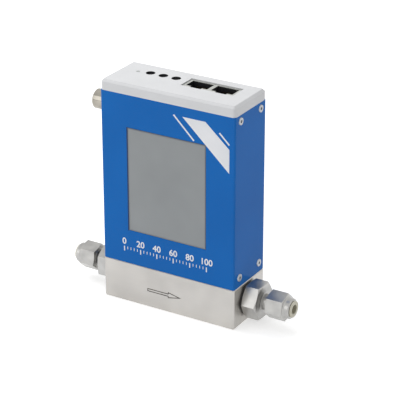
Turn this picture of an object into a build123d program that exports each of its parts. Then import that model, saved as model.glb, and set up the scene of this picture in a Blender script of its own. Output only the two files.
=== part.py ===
"""Mass flow controller: a steel flow block with two tube fittings, and an upright case on top of it.

Frame: origin at the centre of the block's bottom face, +X along the gas flow, the display faces -Y,
+Z up. All lengths are in millimetres.
"""
import os
from build123d import *

os.makedirs("parts", exist_ok=True)

# ---- Envelope ----
body_length = 76.2
body_depth = 30.0
block_height = 22.0
housing_height = 91.0
cap_height = 5.5
housing_wall = 1.5
corner_radius = 1.0
seat_gap = 0.1

# ---- Flow block ----
block_bevel = 0.6
port_height = 12.0
port_thread = 14.0
port_depth = 10.0
chamber_diameter = 10.0
chamber_end_x = -4.0
chamber_passage = 2.4
outlet_passage = 4.0
mount_pitch = 50.0
mount_thread = 4.0
mount_depth = 4.5
arrow_tail_inset = 25.8
arrow_height = 9.7
arrow_shaft_length = 12.2
arrow_head_length = 7.9
arrow_shaft_width = 1.7
arrow_head_width = 3.4
groove_width = 0.45
groove_depth = 0.3

# ---- Tube fittings, by distance out from the block's end ----
tube_diameter = 6.35
tube_gap = 0.05
fitting_bore = 4.8
port_seal_thickness = 0.8
body_hex_flats = 17.5
body_hex_length = 8.0
neck_diameter = 8.2
neck_length = 4.0
stem_diameter = 9.6
stem_length = 6.2
tube_socket_depth = 5.0
cone_length = 1.6
front_ferrule_back = 1.0
nut_lead = 0.3
nut_flats = 12.8
nut_hex_length = 9.4
nut_nose_length = 3.1
nut_nose_diameter = 10.4
nut_turn = 17.5
inlet_body_turn = 30.0
outlet_body_turn = 0.0
hex_bevel = 0.6
body_face_lip = 0.2
nut_back_lip = 0.1
nut_front_lip = 0.4
nose_bevel = 0.5
nose_overlap = 1.0
port_end_gap = 1.0
shoulder_inset = 0.3
cone_wall = 0.5
ferrule_gap = 0.1
ferrule_spacing = 0.3
ferrule_nose = 0.5
ferrule_thickness = 0.75
ferrule_taper = 0.8
ferrule_lip = 0.2
plug_wall = 0.7
plug_floor = 2.0
plug_length = 11.0
plug_rim_diameter = 8.4
plug_rim_thickness = 0.7
plug_rim_gap = 0.1

# ---- Display, from the case's centre and down from the case's top ----
window_offset = -0.6
window_drop = 16.9
window_width = 45.4
window_height = 56.2
window_bevel = 0.4
window_flange = 2.0
window_flange_thickness = 1.0
gasket_thickness = 0.5
gasket_width = 2.5
panel_thickness = 2.5
board_thickness = 1.6
display_board_overhang = 1.8

# ---- Printed stripe, by distance in from the right end and down from the case's top ----
stripe_corners = [(29.1, 5.0), (16.3, 5.0), (3.1, 16.7), (3.1, 29.0)]
upper_line = [(34.1, 4.9), (22.7, 16.1)]
lower_line = [(8.6, 9.1), (3.1, 14.3)]
line_width = 0.8
print_thickness = 0.1

# ---- Boards and standoffs ----
control_board_side_gap = 3.6
control_board_lift = 12.0
control_board_top_gap = 4.0
control_board_screw_inset = 3.0
control_board_screw_lift = 4.0
back_plate_gap = 0.5
standoff_flats = 4.0
standoff_pitch_x = 43.0
standoff_pitch_z = 33.0
standoff_top_inset = 4.0
spigot_diameter = 2.4
board_screw_thread = 2.0
board_screw_head = 3.8
board_screw_head_height = 1.2
board_screw_length = 5.0

link_width = 24.0
link_overlap = 4.0
link_thickness = 2.5

# ---- Network jack, in the cap ----
jack_offset = 14.8
jack_cutout_width = 29.2
jack_cutout_depth = 10.8
jack_back_inset = 12.0
jack_recess = 0.5
jack_height = 14.4
jack_gap = 0.3
shield_thickness = 0.3
socket_pitch = 13.97
socket_width = 11.9
socket_depth = 7.0
socket_back_wall = 0.8
latch_width = 6.2
latch_depth = 1.3
socket_floor = 1.6
contact_count = 8
contact_pitch = 1.02
contact_width = 0.4
contact_reach = 1.6
contact_drop = 2.6
contact_thickness = 0.6
contact_lift = 1.5

# ---- Address switches and lamp, in the cap ----
switch_count = 3
first_switch_offset = -21.1
switch_pitch = 7.4
switch_back_inset = 10.6
switch_side = 6.8
switch_body_height = 5.0
switch_recess = 1.0
switch_hole = 4.8
rotor_diameter = 4.4
rotor_gap = 0.05
rotor_seat = 4.0
slot_width = 0.7
slot_depth = 0.7
slot_inset = 0.6
lamp_offset = -27.6
lamp_back_inset = 11.8
lamp_diameter = 1.8
lamp_foot = 3.0
lamp_foot_height = 1.5
lamp_bevel = 0.3

# ---- Cap ----
cap_corner_radius = 1.8
cap_bevel = 1.2
cap_plate = 1.8
cap_rim = 3.0
lug_width = 6.4
lug_thickness = 4.0
lug_length = 8.0
post_diameter = 4.0
post_left_offset = -26.0
post_right_offset = 28.2
post_edge_inset = 2.1
interface_board_left = -29.2
interface_board_right = 31.0
interface_board_edge_gap = 1.1

# ---- Case and block screws ----
case_screw_thread = 2.5
case_screw_head = 4.0
case_screw_head_height = 0.4
case_screw_length = 5.0
block_screw_depth = 3.5
block_screw_head = 4.3
block_screw_head_height = 1.0
case_screw_inset = 5.3
case_screw_low = 5.1
case_screw_high = 3.2
screw_gap = 0.1
screw_end_gap = 0.5
hex_key = 1.5
hex_key_depth = 0.6

# ---- Chassis ----
chassis_sheet = 1.5
chassis_edge_gap = 0.5
chassis_end_height = 10.0
chassis_back_height = 21.0
chassis_screw_end_inset = 4.5
chassis_screw_front_inset = 3.0
chassis_screw_back_inset = 2.4
chassis_cutout_gap = 0.5

# ---- Flow sensor ----
sensor_x = -14.0
sensor_leg_pitch = 12.0
sensor_base_length = 28.6
sensor_base_depth = 11.0
sensor_base_height = 6.0
sensor_screw_pitch = 24.0
sensor_tube_diameter = 0.9
sensor_tube_rise = 15.0
sensor_tube_bend = 3.0
sensor_passage = 1.0
winding_diameter = 2.2
winding_length = 2.0
winding_gap = 0.05
winding_spacing = 0.5
cover_length = 17.6
cover_height = 20.5
cover_wall = 0.8
flex_width = 6.0
flex_thickness = 0.3
flex_rise = 1.5
flex_slot_side_gap = 0.5
flex_slot_face_gap = 0.2
seal_section = 1.0
seal_bore = 2.4

# ---- Laminar flow element and filter ----
element_length = 9.0
element_gap = 0.05
element_hole = 1.3
element_hole_count = 6
element_hole_inset = 2.2
filter_thickness = 2.0

# ---- Control valve ----
valve_x = 15.5
valve_pocket = 11.0
valve_seat_level = 15.0
seat_thickness = 1.0
seat_orifice = 1.5
seat_lip_height = 0.4
seat_lip_diameter = 3.0
plunger_diameter = 5.5
plunger_gap = 0.05
plunger_length = 20.0
spring_length = 4.0
spring_diameter = 3.4
spring_wire = 0.5
spring_turns = 4
spring_pocket = 3.0
spring_end_gap = 0.02
valve_tube_wall = 0.8
valve_flange_length = 24.0
valve_flange_depth = 13.6
valve_flange_height = 3.0
valve_screw_pitch = 19.0
coil_height = 18.0
bobbin_wall = 0.7
can_diameter = 13.4
can_wall = 0.8
winding_side_gap = 0.3
stem_nut_flats = 8.0
stem_nut_height = 3.0
stem_thread = 4.0
stem_proud = 1.0
lead_diameter = 0.8
lead_spacing = 4.0
lead_drop = 3.0

# ---- Power connector, on the left end ----
connector_drop = 17.5
connector_barrel = 10.2
connector_reach = 12.3
connector_bore = 8.0
connector_thread = 8.0
connector_liner = 1.0
connector_inside = 3.0
connector_seal = 0.8
connector_insert_depth = 9.0
connector_nut_flats = 12.0
connector_nut_height = 2.0
connector_bevel = 0.6
pin_diameter = 1.0
pin_circle = 4.0
pin_count = 4
pin_length = 5.0
pin_tail = 0.4

# ---- Levels and places worked out from the sizes above ----
half_length = body_length / 2
half_depth = body_depth / 2
block_top = block_height
housing_top = block_top + housing_height
cap_top = housing_top + cap_height
cavity_half_length = half_length - housing_wall
cavity_half_depth = half_depth - housing_wall
jack_x = jack_offset
jack_y = half_depth - jack_back_inset
switch_y = half_depth - switch_back_inset
lamp_y = half_depth - lamp_back_inset
case_screw_y = half_depth - case_screw_inset
jack_top = cap_top - jack_recess
interface_board_top = jack_top - jack_height
interface_board_bottom = interface_board_top - board_thickness
window_x = window_offset
window_z = housing_top - window_drop - window_height / 2
window_opening_width = window_width - 2 * window_bevel
window_opening_height = window_height - 2 * window_bevel
panel_width = window_opening_width + 2 * window_flange
panel_height = window_opening_height + 2 * window_flange
window_back_y = -cavity_half_depth + window_flange_thickness
panel_front_y = window_back_y + gasket_thickness
display_board_y = panel_front_y + panel_thickness
display_board_back_y = display_board_y + board_thickness
display_board_half_width = panel_width / 2 + display_board_overhang
display_board_half_height = panel_height / 2 + display_board_overhang
back_plate_y = cavity_half_depth - back_plate_gap - chassis_sheet
control_board_y = back_plate_y - board_thickness
control_board_bottom = block_top + control_board_lift
control_board_top = interface_board_bottom - control_board_top_gap
control_board_width = 2 * (cavity_half_length - control_board_side_gap)
middle_y = (control_board_y + display_board_back_y) / 2
sensor_y = middle_y
valve_y = middle_y
chassis_front = cavity_half_depth - chassis_edge_gap
standoff_top_z = window_z + display_board_half_height - standoff_top_inset
standoff_places = [
    (window_x + side * standoff_pitch_x / 2, standoff_top_z - step * standoff_pitch_z)
    for side in (-1, 1) for step in (0, 1)
]
control_board_screw_x = control_board_width / 2 - control_board_screw_inset
control_board_screw_z = control_board_bottom + control_board_screw_lift
control_board_screw_places = [(side * control_board_screw_x, control_board_screw_z) for side in (-1, 1)]
interface_board_half_depth = cavity_half_depth - interface_board_edge_gap
post_y = interface_board_half_depth - post_edge_inset
post_places = [(x, side * post_y) for x in (post_left_offset, post_right_offset) for side in (-1, 1)]
case_screw_levels = [block_top + case_screw_low, housing_top - case_screw_high]
case_screw_places = [(side_y * case_screw_y, level) for side_y in (-1, 1) for level in case_screw_levels]
switch_places = [first_switch_offset + number * switch_pitch for number in range(switch_count)]
lamp_x = lamp_offset
chassis_half_length = cavity_half_length - seat_gap
sensor_legs = [sensor_x - sensor_leg_pitch / 2, sensor_x + sensor_leg_pitch / 2]
sensor_screw_xs = [sensor_x - sensor_screw_pitch / 2, sensor_x + sensor_screw_pitch / 2]
valve_screw_xs = [valve_x - valve_screw_pitch / 2, valve_x + valve_screw_pitch / 2]
block_screw_places = (
    [(x, sensor_y, block_top + sensor_base_height) for x in sensor_screw_xs]
    + [(x, valve_y, block_top + valve_flange_height) for x in valve_screw_xs]
    + [(side * (chassis_half_length - chassis_screw_end_inset), y, block_top + chassis_sheet)
       for side in (-1, 1)
       for y in (chassis_screw_front_inset - chassis_front, back_plate_y - chassis_screw_back_inset)]
)
connector_z = cap_top - connector_drop
plunger_bottom = valve_seat_level + seat_lip_height
plunger_top = plunger_bottom + plunger_length
core_bottom = plunger_top - spring_pocket + spring_length
valve_tube_bore = plunger_diameter + 2 * plunger_gap
valve_tube_outside = valve_tube_bore + 2 * valve_tube_wall
coil_bottom = block_top + valve_flange_height
coil_top = coil_bottom + coil_height
sensor_passage_depth = block_top - port_height
port_axis = Axis((0, 0, port_height), (1, 0, 0))


def facing_front(y, x=0.0, z=0.0):
    """A plane that looks along -Y, with X to the right and Z up."""
    return Plane(origin=(x, y, z), x_dir=(1, 0, 0), z_dir=(0, -1, 0))


def facing_right(x, y=0.0, z=0.0):
    """A plane that looks along +X, with Y to the right and Z up."""
    return Plane(origin=(x, y, z), x_dir=(0, 1, 0), z_dir=(1, 0, 0))


def outward(side, points):
    """Turns (distance out from the block's end, radius) into (X, radius) for either end."""
    return [(side * (half_length + distance), radius) for distance, radius in points]


def thin_band(ends, width):
    """The four corners of a straight band of this width from one point to another."""
    start, finish = (Vector(*end) for end in ends)
    across = (finish - start).rotate(Axis.Z, 90).normalized() * (width / 2)
    return [start + across, start - across, finish - across, finish + across]


# ---- Flow block: one machined bar with its ports, passages and tapped holes ----
with BuildPart() as flow_block:
    with BuildSketch(Plane.XY):
        Rectangle(body_length, body_depth)
    extrude(amount=block_height)
    chamfer(flow_block.edges(), length=block_bevel)
    for side in (-1, 1):
        with BuildSketch(facing_right(side * half_length, 0, port_height)):
            Circle((port_thread + screw_gap) / 2)
        extrude(amount=-side * port_depth, mode=Mode.SUBTRACT)
    with BuildSketch(facing_right(-half_length, 0, port_height)):
        Circle(chamber_diameter / 2)
    extrude(amount=half_length + chamber_end_x, mode=Mode.SUBTRACT)
    with BuildSketch(facing_right(chamber_end_x, 0, valve_seat_level + chamber_passage / 2)):
        Circle(chamber_passage / 2)
    extrude(amount=valve_x - chamber_end_x, mode=Mode.SUBTRACT)
    with BuildSketch(facing_right(half_length, 0, port_height)):
        Circle(outlet_passage / 2)
    extrude(amount=valve_x - outlet_passage - half_length, mode=Mode.SUBTRACT)
    with BuildSketch(Plane.XY.offset(block_top)):
        with Locations((valve_x, valve_y)):
            Circle(valve_pocket / 2)
    extrude(amount=valve_seat_level - seat_thickness - block_top, mode=Mode.SUBTRACT)
    with BuildSketch(Plane.XY.offset(block_top)):
        with Locations((valve_x, valve_y)):
            Circle(seat_orifice)
    extrude(amount=port_height - block_top, mode=Mode.SUBTRACT)
    with BuildSketch(Plane.XY.offset(block_top)):
        with Locations(*[(x, sensor_y) for x in sensor_legs]):
            Circle(sensor_passage / 2)
    extrude(amount=-sensor_passage_depth, mode=Mode.SUBTRACT)
    with BuildSketch(Plane.XY.offset(block_top)):
        with Locations(*[(x, y) for x, y, _ in block_screw_places]):
            Circle((case_screw_thread + screw_gap) / 2)
    extrude(amount=-block_screw_depth, mode=Mode.SUBTRACT)
    with BuildSketch(Plane.XY):
        with Locations((-mount_pitch / 2, 0), (mount_pitch / 2, 0)):
            Circle((mount_thread + 2 * screw_gap) / 2)
    extrude(amount=mount_depth, mode=Mode.SUBTRACT)
    with BuildSketch(facing_front(-half_depth, -half_length + arrow_tail_inset, arrow_height)):
        with BuildLine():
            Polyline(
                (0, arrow_shaft_width / 2),
                (arrow_shaft_length, arrow_shaft_width / 2),
                (arrow_shaft_length, arrow_head_width / 2),
                (arrow_shaft_length + arrow_head_length, 0),
                (arrow_shaft_length, -arrow_head_width / 2),
                (arrow_shaft_length, -arrow_shaft_width / 2),
                (0, -arrow_shaft_width / 2),
                close=True,
            )
        make_face()
        offset(amount=-groove_width, mode=Mode.SUBTRACT)
    extrude(amount=-groove_depth, mode=Mode.SUBTRACT)
flow_block.part.label = "flow_block"
export_step(flow_block.part, "parts/flow_block.step")

# ---- Housing: one blue tube, open at both ends ----
with BuildPart() as housing:
    with BuildSketch(Plane.XY.offset(block_top)) as housing_section:
        RectangleRounded(body_length, body_depth, corner_radius)
        RectangleRounded(2 * cavity_half_length, 2 * cavity_half_depth, corner_radius / 2, mode=Mode.SUBTRACT)
    extrude(amount=housing_height)
    with BuildSketch(facing_front(-half_depth, window_x, window_z)) as window_mouth:
        Rectangle(window_width, window_height)
    extrude(amount=-window_bevel, taper=45, mode=Mode.SUBTRACT)
    with BuildSketch(facing_front(-half_depth, window_x, window_z)):
        Rectangle(window_opening_width, window_opening_height)
    extrude(amount=-housing_wall, mode=Mode.SUBTRACT)
    with BuildSketch(facing_right(-half_length)):
        with Locations((0, connector_z)):
            Circle((connector_thread + 2 * screw_gap) / 2)
    extrude(amount=housing_wall, mode=Mode.SUBTRACT)
    for side in (-1, 1):
        with BuildSketch(facing_right(side * half_length)):
            with Locations(*case_screw_places):
                Circle((case_screw_thread + 2 * screw_gap) / 2)
        extrude(amount=-side * housing_wall, mode=Mode.SUBTRACT)
housing.part.label = "housing"
export_step(housing.part, "parts/housing.step")

# ---- Cap: a moulded lid with a rim, four screw lugs and four board posts ----
with BuildPart() as top_cap:
    with BuildSketch(Plane.XY.offset(housing_top)):
        RectangleRounded(body_length, body_depth, cap_corner_radius)
    extrude(amount=cap_height)
    chamfer(top_cap.faces().sort_by(Axis.Z)[-1].edges(), length=cap_bevel)
    with BuildSketch(Plane.XY.offset(housing_top)):
        RectangleRounded(body_length - 2 * cap_rim, body_depth - 2 * cap_rim, cap_corner_radius / 2)
    extrude(amount=cap_height - cap_plate, mode=Mode.SUBTRACT)
    with BuildSketch(Plane.XY.offset(housing_top - lug_length)):
        for side in (-1, 1):
            with Locations(*[(side * (cavity_half_length - seat_gap - lug_thickness / 2), y * case_screw_y)
                             for y in (-1, 1)]):
                Rectangle(lug_thickness, lug_width)
    extrude(amount=lug_length + cap_height - cap_plate)
    with BuildSketch(Plane.XY.offset(interface_board_top)):
        with Locations(*post_places):
            Circle(post_diameter / 2)
    extrude(amount=cap_top - cap_plate - interface_board_top)
    with BuildSketch(Plane.XY.offset(interface_board_top)):
        with Locations(*post_places):
            Circle((board_screw_thread + screw_gap) / 2)
    extrude(amount=board_screw_length, mode=Mode.SUBTRACT)
    for side in (-1, 1):
        with BuildSketch(facing_right(side * (cavity_half_length - seat_gap))):
            with Locations(*[(y * case_screw_y, case_screw_levels[1]) for y in (-1, 1)]):
                Circle((case_screw_thread + screw_gap) / 2)
        extrude(amount=-side * (lug_thickness - screw_end_gap), mode=Mode.SUBTRACT)
    with BuildSketch(Plane.XY.offset(cap_top)):
        with Locations((jack_x, jack_y)):
            Rectangle(jack_cutout_width, jack_cutout_depth)
        with Locations(*[(x, switch_y) for x in switch_places]):
            Circle(switch_hole / 2)
        with Locations((lamp_x, lamp_y)):
            Circle(lamp_diameter / 2 + screw_gap)
    extrude(amount=-cap_plate, mode=Mode.SUBTRACT)
top_cap.part.label = "top_cap"
export_step(top_cap.part, "parts/top_cap.step")

# ---- Printed stripe: a slanted white band and two thin lines on the housing's front ----
with BuildPart() as accent_stripe:
    with BuildSketch(facing_front(-half_depth, half_length, housing_top)):
        with BuildLine():
            Polyline(*[(-inset, -drop) for inset, drop in stripe_corners], close=True)
        make_face()
        for corners in (upper_line, lower_line):
            with BuildLine():
                Polyline(*thin_band([(-inset, -drop) for inset, drop in corners], line_width), close=True)
            make_face()
    extrude(amount=print_thickness)
accent_stripe.part.label = "accent_stripe"
export_step(accent_stripe.part, "parts/accent_stripe.step")

# ---- Display: window, gasket, panel and its board, stacked behind the housing's front ----
with BuildPart() as display_window:
    with BuildSketch(facing_front(-half_depth + window_bevel, window_x, window_z)):
        Rectangle(window_opening_width - 2 * seat_gap, window_opening_height - 2 * seat_gap)
    extrude(amount=-(housing_wall - window_bevel))
    with BuildSketch(facing_front(-cavity_half_depth, window_x, window_z)):
        Rectangle(panel_width, panel_height)
    extrude(amount=-window_flange_thickness)
display_window.part.label = "display_window"
export_step(display_window.part, "parts/display_window.step")

with BuildPart() as display_gasket:
    with BuildSketch(facing_front(window_back_y, window_x, window_z)):
        Rectangle(panel_width, panel_height)
        Rectangle(panel_width - 2 * gasket_width, panel_height - 2 * gasket_width, mode=Mode.SUBTRACT)
    extrude(amount=-gasket_thickness)
display_gasket.part.label = "display_gasket"
export_step(display_gasket.part, "parts/display_gasket.step")

with BuildPart() as display_panel:
    with BuildSketch(facing_front(panel_front_y, window_x, window_z)):
        Rectangle(panel_width, panel_height)
    extrude(amount=-panel_thickness)
display_panel.part.label = "display_panel"
export_step(display_panel.part, "parts/display_panel.step")

with BuildPart() as display_board:
    with BuildSketch(facing_front(display_board_y, window_x, window_z)):
        Rectangle(2 * display_board_half_width, 2 * display_board_half_height)
    extrude(amount=-board_thickness)
    with BuildSketch(facing_front(display_board_y)):
        with Locations(*standoff_places):
            Circle(spigot_diameter / 2 + screw_gap / 2)
    extrude(amount=-board_thickness, mode=Mode.SUBTRACT)
display_board.part.label = "display_board"
export_step(display_board.part, "parts/display_board.step")

with BuildPart() as display_standoffs:
    with BuildSketch(facing_front(display_board_back_y)):
        with Locations(*standoff_places):
            RegularPolygon(standoff_flats / 2, 6, major_radius=False)
    extrude(amount=-(control_board_y - display_board_back_y))
    with BuildSketch(facing_front(display_board_y)):
        with Locations(*standoff_places):
            Circle(spigot_diameter / 2)
    extrude(amount=-board_thickness)
    with BuildSketch(facing_front(control_board_y)):
        with Locations(*standoff_places):
            Circle((board_screw_thread + screw_gap) / 2)
    extrude(amount=board_screw_length, mode=Mode.SUBTRACT)
display_standoffs.part.label = "display_standoffs"
export_step(display_standoffs.part, "parts/display_standoffs.step")

# ---- Control board and its parts, upright along the back wall ----
with BuildPart() as control_board:
    with BuildSketch(facing_front(control_board_y, 0, (control_board_bottom + control_board_top) / 2)):
        Rectangle(control_board_width, control_board_top - control_board_bottom)
    extrude(amount=-board_thickness)
    with BuildSketch(facing_front(control_board_y)):
        with Locations(*(standoff_places + control_board_screw_places)):
            Circle(board_screw_thread / 2 + screw_gap)
    extrude(amount=-board_thickness, mode=Mode.SUBTRACT)
control_board.part.label = "control_board"
export_step(control_board.part, "parts/control_board.step")

chip_sizes = [
    ((-12.0, 15.0), (14.0, 14.0, 1.6)),
    ((8.0, 14.0), (10.0, 10.0, 1.4)),
    ((8.0, 28.0), (6.0, 9.0, 1.8)),
    ((-8.0, 30.0), (8.0, 8.0, 2.4)),
    ((-28.0, 20.0), (3.0, 12.0, 4.0)),
    ((28.0, 20.0), (3.0, 14.0, 4.0)),
]
with BuildPart() as control_chips:
    for (chip_x, chip_drop), (chip_width, chip_height, chip_thickness) in chip_sizes:
        with BuildSketch(facing_front(control_board_y, chip_x, control_board_top - chip_drop)):
            Rectangle(chip_width, chip_height)
        extrude(amount=chip_thickness)
control_chips.part.label = "control_chips"
export_step(control_chips.part, "parts/control_chips.step")

# ---- Interface board: level, hung from the cap's posts, carrying jack, switches and lamp ----
with BuildPart() as interface_board:
    with BuildSketch(Plane.XY.offset(interface_board_bottom)):
        with Locations(((interface_board_left + interface_board_right) / 2, 0)):
            Rectangle(interface_board_right - interface_board_left, 2 * interface_board_half_depth)
        with Locations(*post_places):
            Circle(board_screw_thread / 2 + screw_gap, mode=Mode.SUBTRACT)
    extrude(amount=board_thickness)
interface_board.part.label = "interface_board"
export_step(interface_board.part, "parts/interface_board.step")

with BuildPart() as board_link:
    link_bottom = control_board_top - link_overlap
    with BuildSketch(facing_front(control_board_y, 0, (link_bottom + interface_board_bottom) / 2)):
        Rectangle(link_width, interface_board_bottom - link_bottom)
    extrude(amount=link_thickness)
board_link.part.label = "board_link"
export_step(board_link.part, "parts/board_link.step")

# ---- Board screws with hexagonal heads: behind the control board and under the interface board ----
with BuildPart() as board_screws:
    for plane, places in (
        (facing_front(control_board_y + board_thickness), standoff_places),
        (Plane.XY.offset(interface_board_bottom), post_places),
    ):
        with BuildSketch(plane):
            with Locations(*places):
                RegularPolygon(board_screw_head / 2, 6)
        extrude(amount=-board_screw_head_height)
        with BuildSketch(plane):
            with Locations(*places):
                Circle(board_screw_thread / 2)
        extrude(amount=board_screw_length + board_thickness - screw_gap)
    with BuildSketch(facing_front(control_board_y)):
        with Locations(*control_board_screw_places):
            RegularPolygon(board_screw_head / 2, 6)
    extrude(amount=board_screw_head_height)
    with BuildSketch(facing_front(control_board_y)):
        with Locations(*control_board_screw_places):
            Circle(board_screw_thread / 2)
    extrude(amount=-(board_thickness + chassis_sheet))
board_screws.part.label = "board_screws"
export_step(board_screws.part, "parts/board_screws.step")

# ---- Chassis: a folded sheet on the block, with an upright end at each side and a taller back ----
sensor_cutout = (sensor_base_length + 2 * chassis_cutout_gap, sensor_base_depth + 2 * chassis_cutout_gap)
valve_cutout = (valve_flange_length + 2 * chassis_cutout_gap, valve_flange_depth + 2 * chassis_cutout_gap)
with BuildPart() as chassis:
    with BuildSketch(Plane.XY.offset(block_top)):
        with Locations((0, (back_plate_y + chassis_sheet - chassis_front) / 2)):
            Rectangle(2 * chassis_half_length, back_plate_y + chassis_sheet + chassis_front)
        with Locations((sensor_x, sensor_y)):
            Rectangle(*sensor_cutout, mode=Mode.SUBTRACT)
        with Locations((valve_x, valve_y)):
            Rectangle(*valve_cutout, mode=Mode.SUBTRACT)
        with Locations(*[(x, y) for x, y, level in block_screw_places if level == block_top + chassis_sheet]):
            Circle(case_screw_thread / 2 + screw_gap, mode=Mode.SUBTRACT)
    extrude(amount=chassis_sheet)
    for side in (-1, 1):
        with BuildSketch(facing_right(side * chassis_half_length)):
            with Locations((0, block_top + chassis_end_height / 2)):
                Rectangle(2 * chassis_front, chassis_end_height)
            with Locations(*[(y, level) for y, level in case_screw_places if level == case_screw_levels[0]]):
                Circle((case_screw_thread + screw_gap) / 2, mode=Mode.SUBTRACT)
        extrude(amount=-side * chassis_sheet)
    with BuildSketch(facing_front(back_plate_y, 0, block_top + chassis_back_height / 2)):
        Rectangle(control_board_width, chassis_back_height)
    extrude(amount=-chassis_sheet)
    with BuildSketch(facing_front(back_plate_y)):
        with Locations(*control_board_screw_places):
            Circle((board_screw_thread + screw_gap) / 2)
    extrude(amount=-chassis_sheet, mode=Mode.SUBTRACT)
chassis.part.label = "chassis"
export_step(chassis.part, "parts/chassis.step")

# ---- Case screws with hexagonal sockets, and block screws with hexagonal heads ----
with BuildPart() as case_screws:
    for side in (-1, 1):
        with BuildSketch(facing_right(side * half_length)):
            with Locations(*case_screw_places):
                Circle(case_screw_head / 2)
        extrude(amount=side * case_screw_head_height)
        with BuildSketch(facing_right(side * half_length)):
            with Locations(*case_screw_places):
                Circle(case_screw_thread / 2)
        extrude(amount=-side * case_screw_length)
        with BuildSketch(facing_right(side * (half_length + case_screw_head_height))):
            with Locations(*case_screw_places):
                RegularPolygon(hex_key / 2, 6, major_radius=False)
        extrude(amount=-side * hex_key_depth, mode=Mode.SUBTRACT)
case_screws.part.label = "case_screws"
export_step(case_screws.part, "parts/case_screws.step")

with BuildPart() as block_screws:
    for x, y, level in block_screw_places:
        with BuildSketch(Plane(origin=(x, y, level))):
            RegularPolygon(block_screw_head / 2, 6)
        extrude(amount=block_screw_head_height)
        with BuildSketch(Plane(origin=(x, y, level))):
            Circle(case_screw_thread / 2)
        extrude(amount=block_top - level - block_screw_depth + screw_end_gap)
block_screws.part.label = "block_screws"
export_step(block_screws.part, "parts/block_screws.step")

# ---- Network jack: a metal shield round a moulded body with two sockets, and their contacts ----
socket_xs = [jack_x - socket_pitch / 2, jack_x + socket_pitch / 2]
jack_width = jack_cutout_width - 2 * jack_gap
jack_depth = jack_cutout_depth - 2 * jack_gap
jack_inner_width = jack_width - 2 * shield_thickness
jack_inner_depth = jack_depth - 2 * shield_thickness
socket_back_y = jack_y + jack_depth / 2 - shield_thickness - socket_back_wall
socket_front_y = socket_back_y - socket_depth

with BuildPart() as network_jack_shield:
    with BuildSketch(Plane.XY.offset(interface_board_top)):
        with Locations((jack_x, jack_y)):
            Rectangle(jack_width, jack_depth)
            Rectangle(jack_inner_width, jack_inner_depth, mode=Mode.SUBTRACT)
    extrude(amount=jack_height)
    with BuildSketch(Plane.XY.offset(jack_top)):
        with Locations((jack_x, jack_y)):
            Rectangle(jack_width, jack_depth)
        for socket_x in socket_xs:
            with Locations((socket_x, socket_back_y - socket_depth / 2)):
                Rectangle(socket_width, socket_depth, mode=Mode.SUBTRACT)
            with Locations((socket_x, socket_front_y - latch_depth / 2)):
                Rectangle(latch_width, latch_depth, mode=Mode.SUBTRACT)
    extrude(amount=-shield_thickness)
network_jack_shield.part.label = "network_jack_shield"
export_step(network_jack_shield.part, "parts/network_jack_shield.step")

with BuildPart() as network_jack:
    with BuildSketch(Plane.XY.offset(interface_board_top)):
        with Locations((jack_x, jack_y)):
            Rectangle(jack_inner_width, jack_inner_depth)
    extrude(amount=jack_height - shield_thickness)
    with BuildSketch(Plane.XY.offset(interface_board_top + socket_floor)):
        for socket_x in socket_xs:
            with Locations((socket_x, socket_back_y - socket_depth / 2)):
                Rectangle(socket_width, socket_depth)
            with Locations((socket_x, socket_front_y - latch_depth / 2)):
                Rectangle(latch_width, latch_depth)
    extrude(amount=jack_height, mode=Mode.SUBTRACT)
network_jack.part.label = "network_jack"
export_step(network_jack.part, "parts/network_jack.step")

contact_foot = interface_board_top + socket_floor + contact_lift
with BuildPart() as network_jack_contacts:
    for socket_x in socket_xs:
        for number in range(contact_count):
            contact_x = socket_x + (number - (contact_count - 1) / 2) * contact_pitch
            with BuildSketch(facing_right(contact_x - contact_width / 2)):
                with BuildLine():
                    Polyline(
                        (socket_back_y, jack_top - contact_drop),
                        (socket_back_y, jack_top - contact_drop - contact_thickness),
                        (socket_back_y - contact_reach + contact_width, contact_foot),
                        (socket_back_y - contact_reach, contact_foot),
                        close=True,
                    )
                make_face()
            extrude(amount=contact_width)
network_jack_contacts.part.label = "network_jack_contacts"
export_step(network_jack_contacts.part, "parts/network_jack_contacts.step")

# ---- Address switches: three bodies, each with a rotor that turns in it and shows in the cap ----
with BuildPart() as address_switches:
    with BuildSketch(Plane.XY.offset(interface_board_top)):
        with Locations(*[(x, switch_y) for x in switch_places]):
            Rectangle(switch_side, switch_side)
    extrude(amount=switch_body_height)
    with BuildSketch(Plane.XY.offset(interface_board_top + switch_body_height - rotor_seat)):
        with Locations(*[(x, switch_y) for x in switch_places]):
            Circle(rotor_diameter / 2 + rotor_gap)
    extrude(amount=rotor_seat, mode=Mode.SUBTRACT)
address_switches.part.label = "address_switches"
export_step(address_switches.part, "parts/address_switches.step")

rotor_bottom = interface_board_top + switch_body_height - rotor_seat + rotor_gap
rotor_top = cap_top - switch_recess
for number, switch_x in enumerate(switch_places, start=1):
    with BuildPart() as address_rotor:
        with BuildSketch(Plane(origin=(switch_x, switch_y, rotor_bottom))):
            Circle(rotor_diameter / 2)
        extrude(amount=rotor_top - rotor_bottom)
        with BuildSketch(Plane(origin=(switch_x, switch_y, rotor_top))):
            Rectangle(rotor_diameter - 2 * slot_inset, slot_width)
            with Locations((rotor_diameter / 2 - slot_inset - slot_width / 2, 0)):
                RegularPolygon(slot_width, 3)
        extrude(amount=-slot_depth, mode=Mode.SUBTRACT)
    address_rotor.part.label = f"address_rotor_{number}"
    export_step(address_rotor.part, f"parts/address_rotor_{number}.step")

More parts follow.
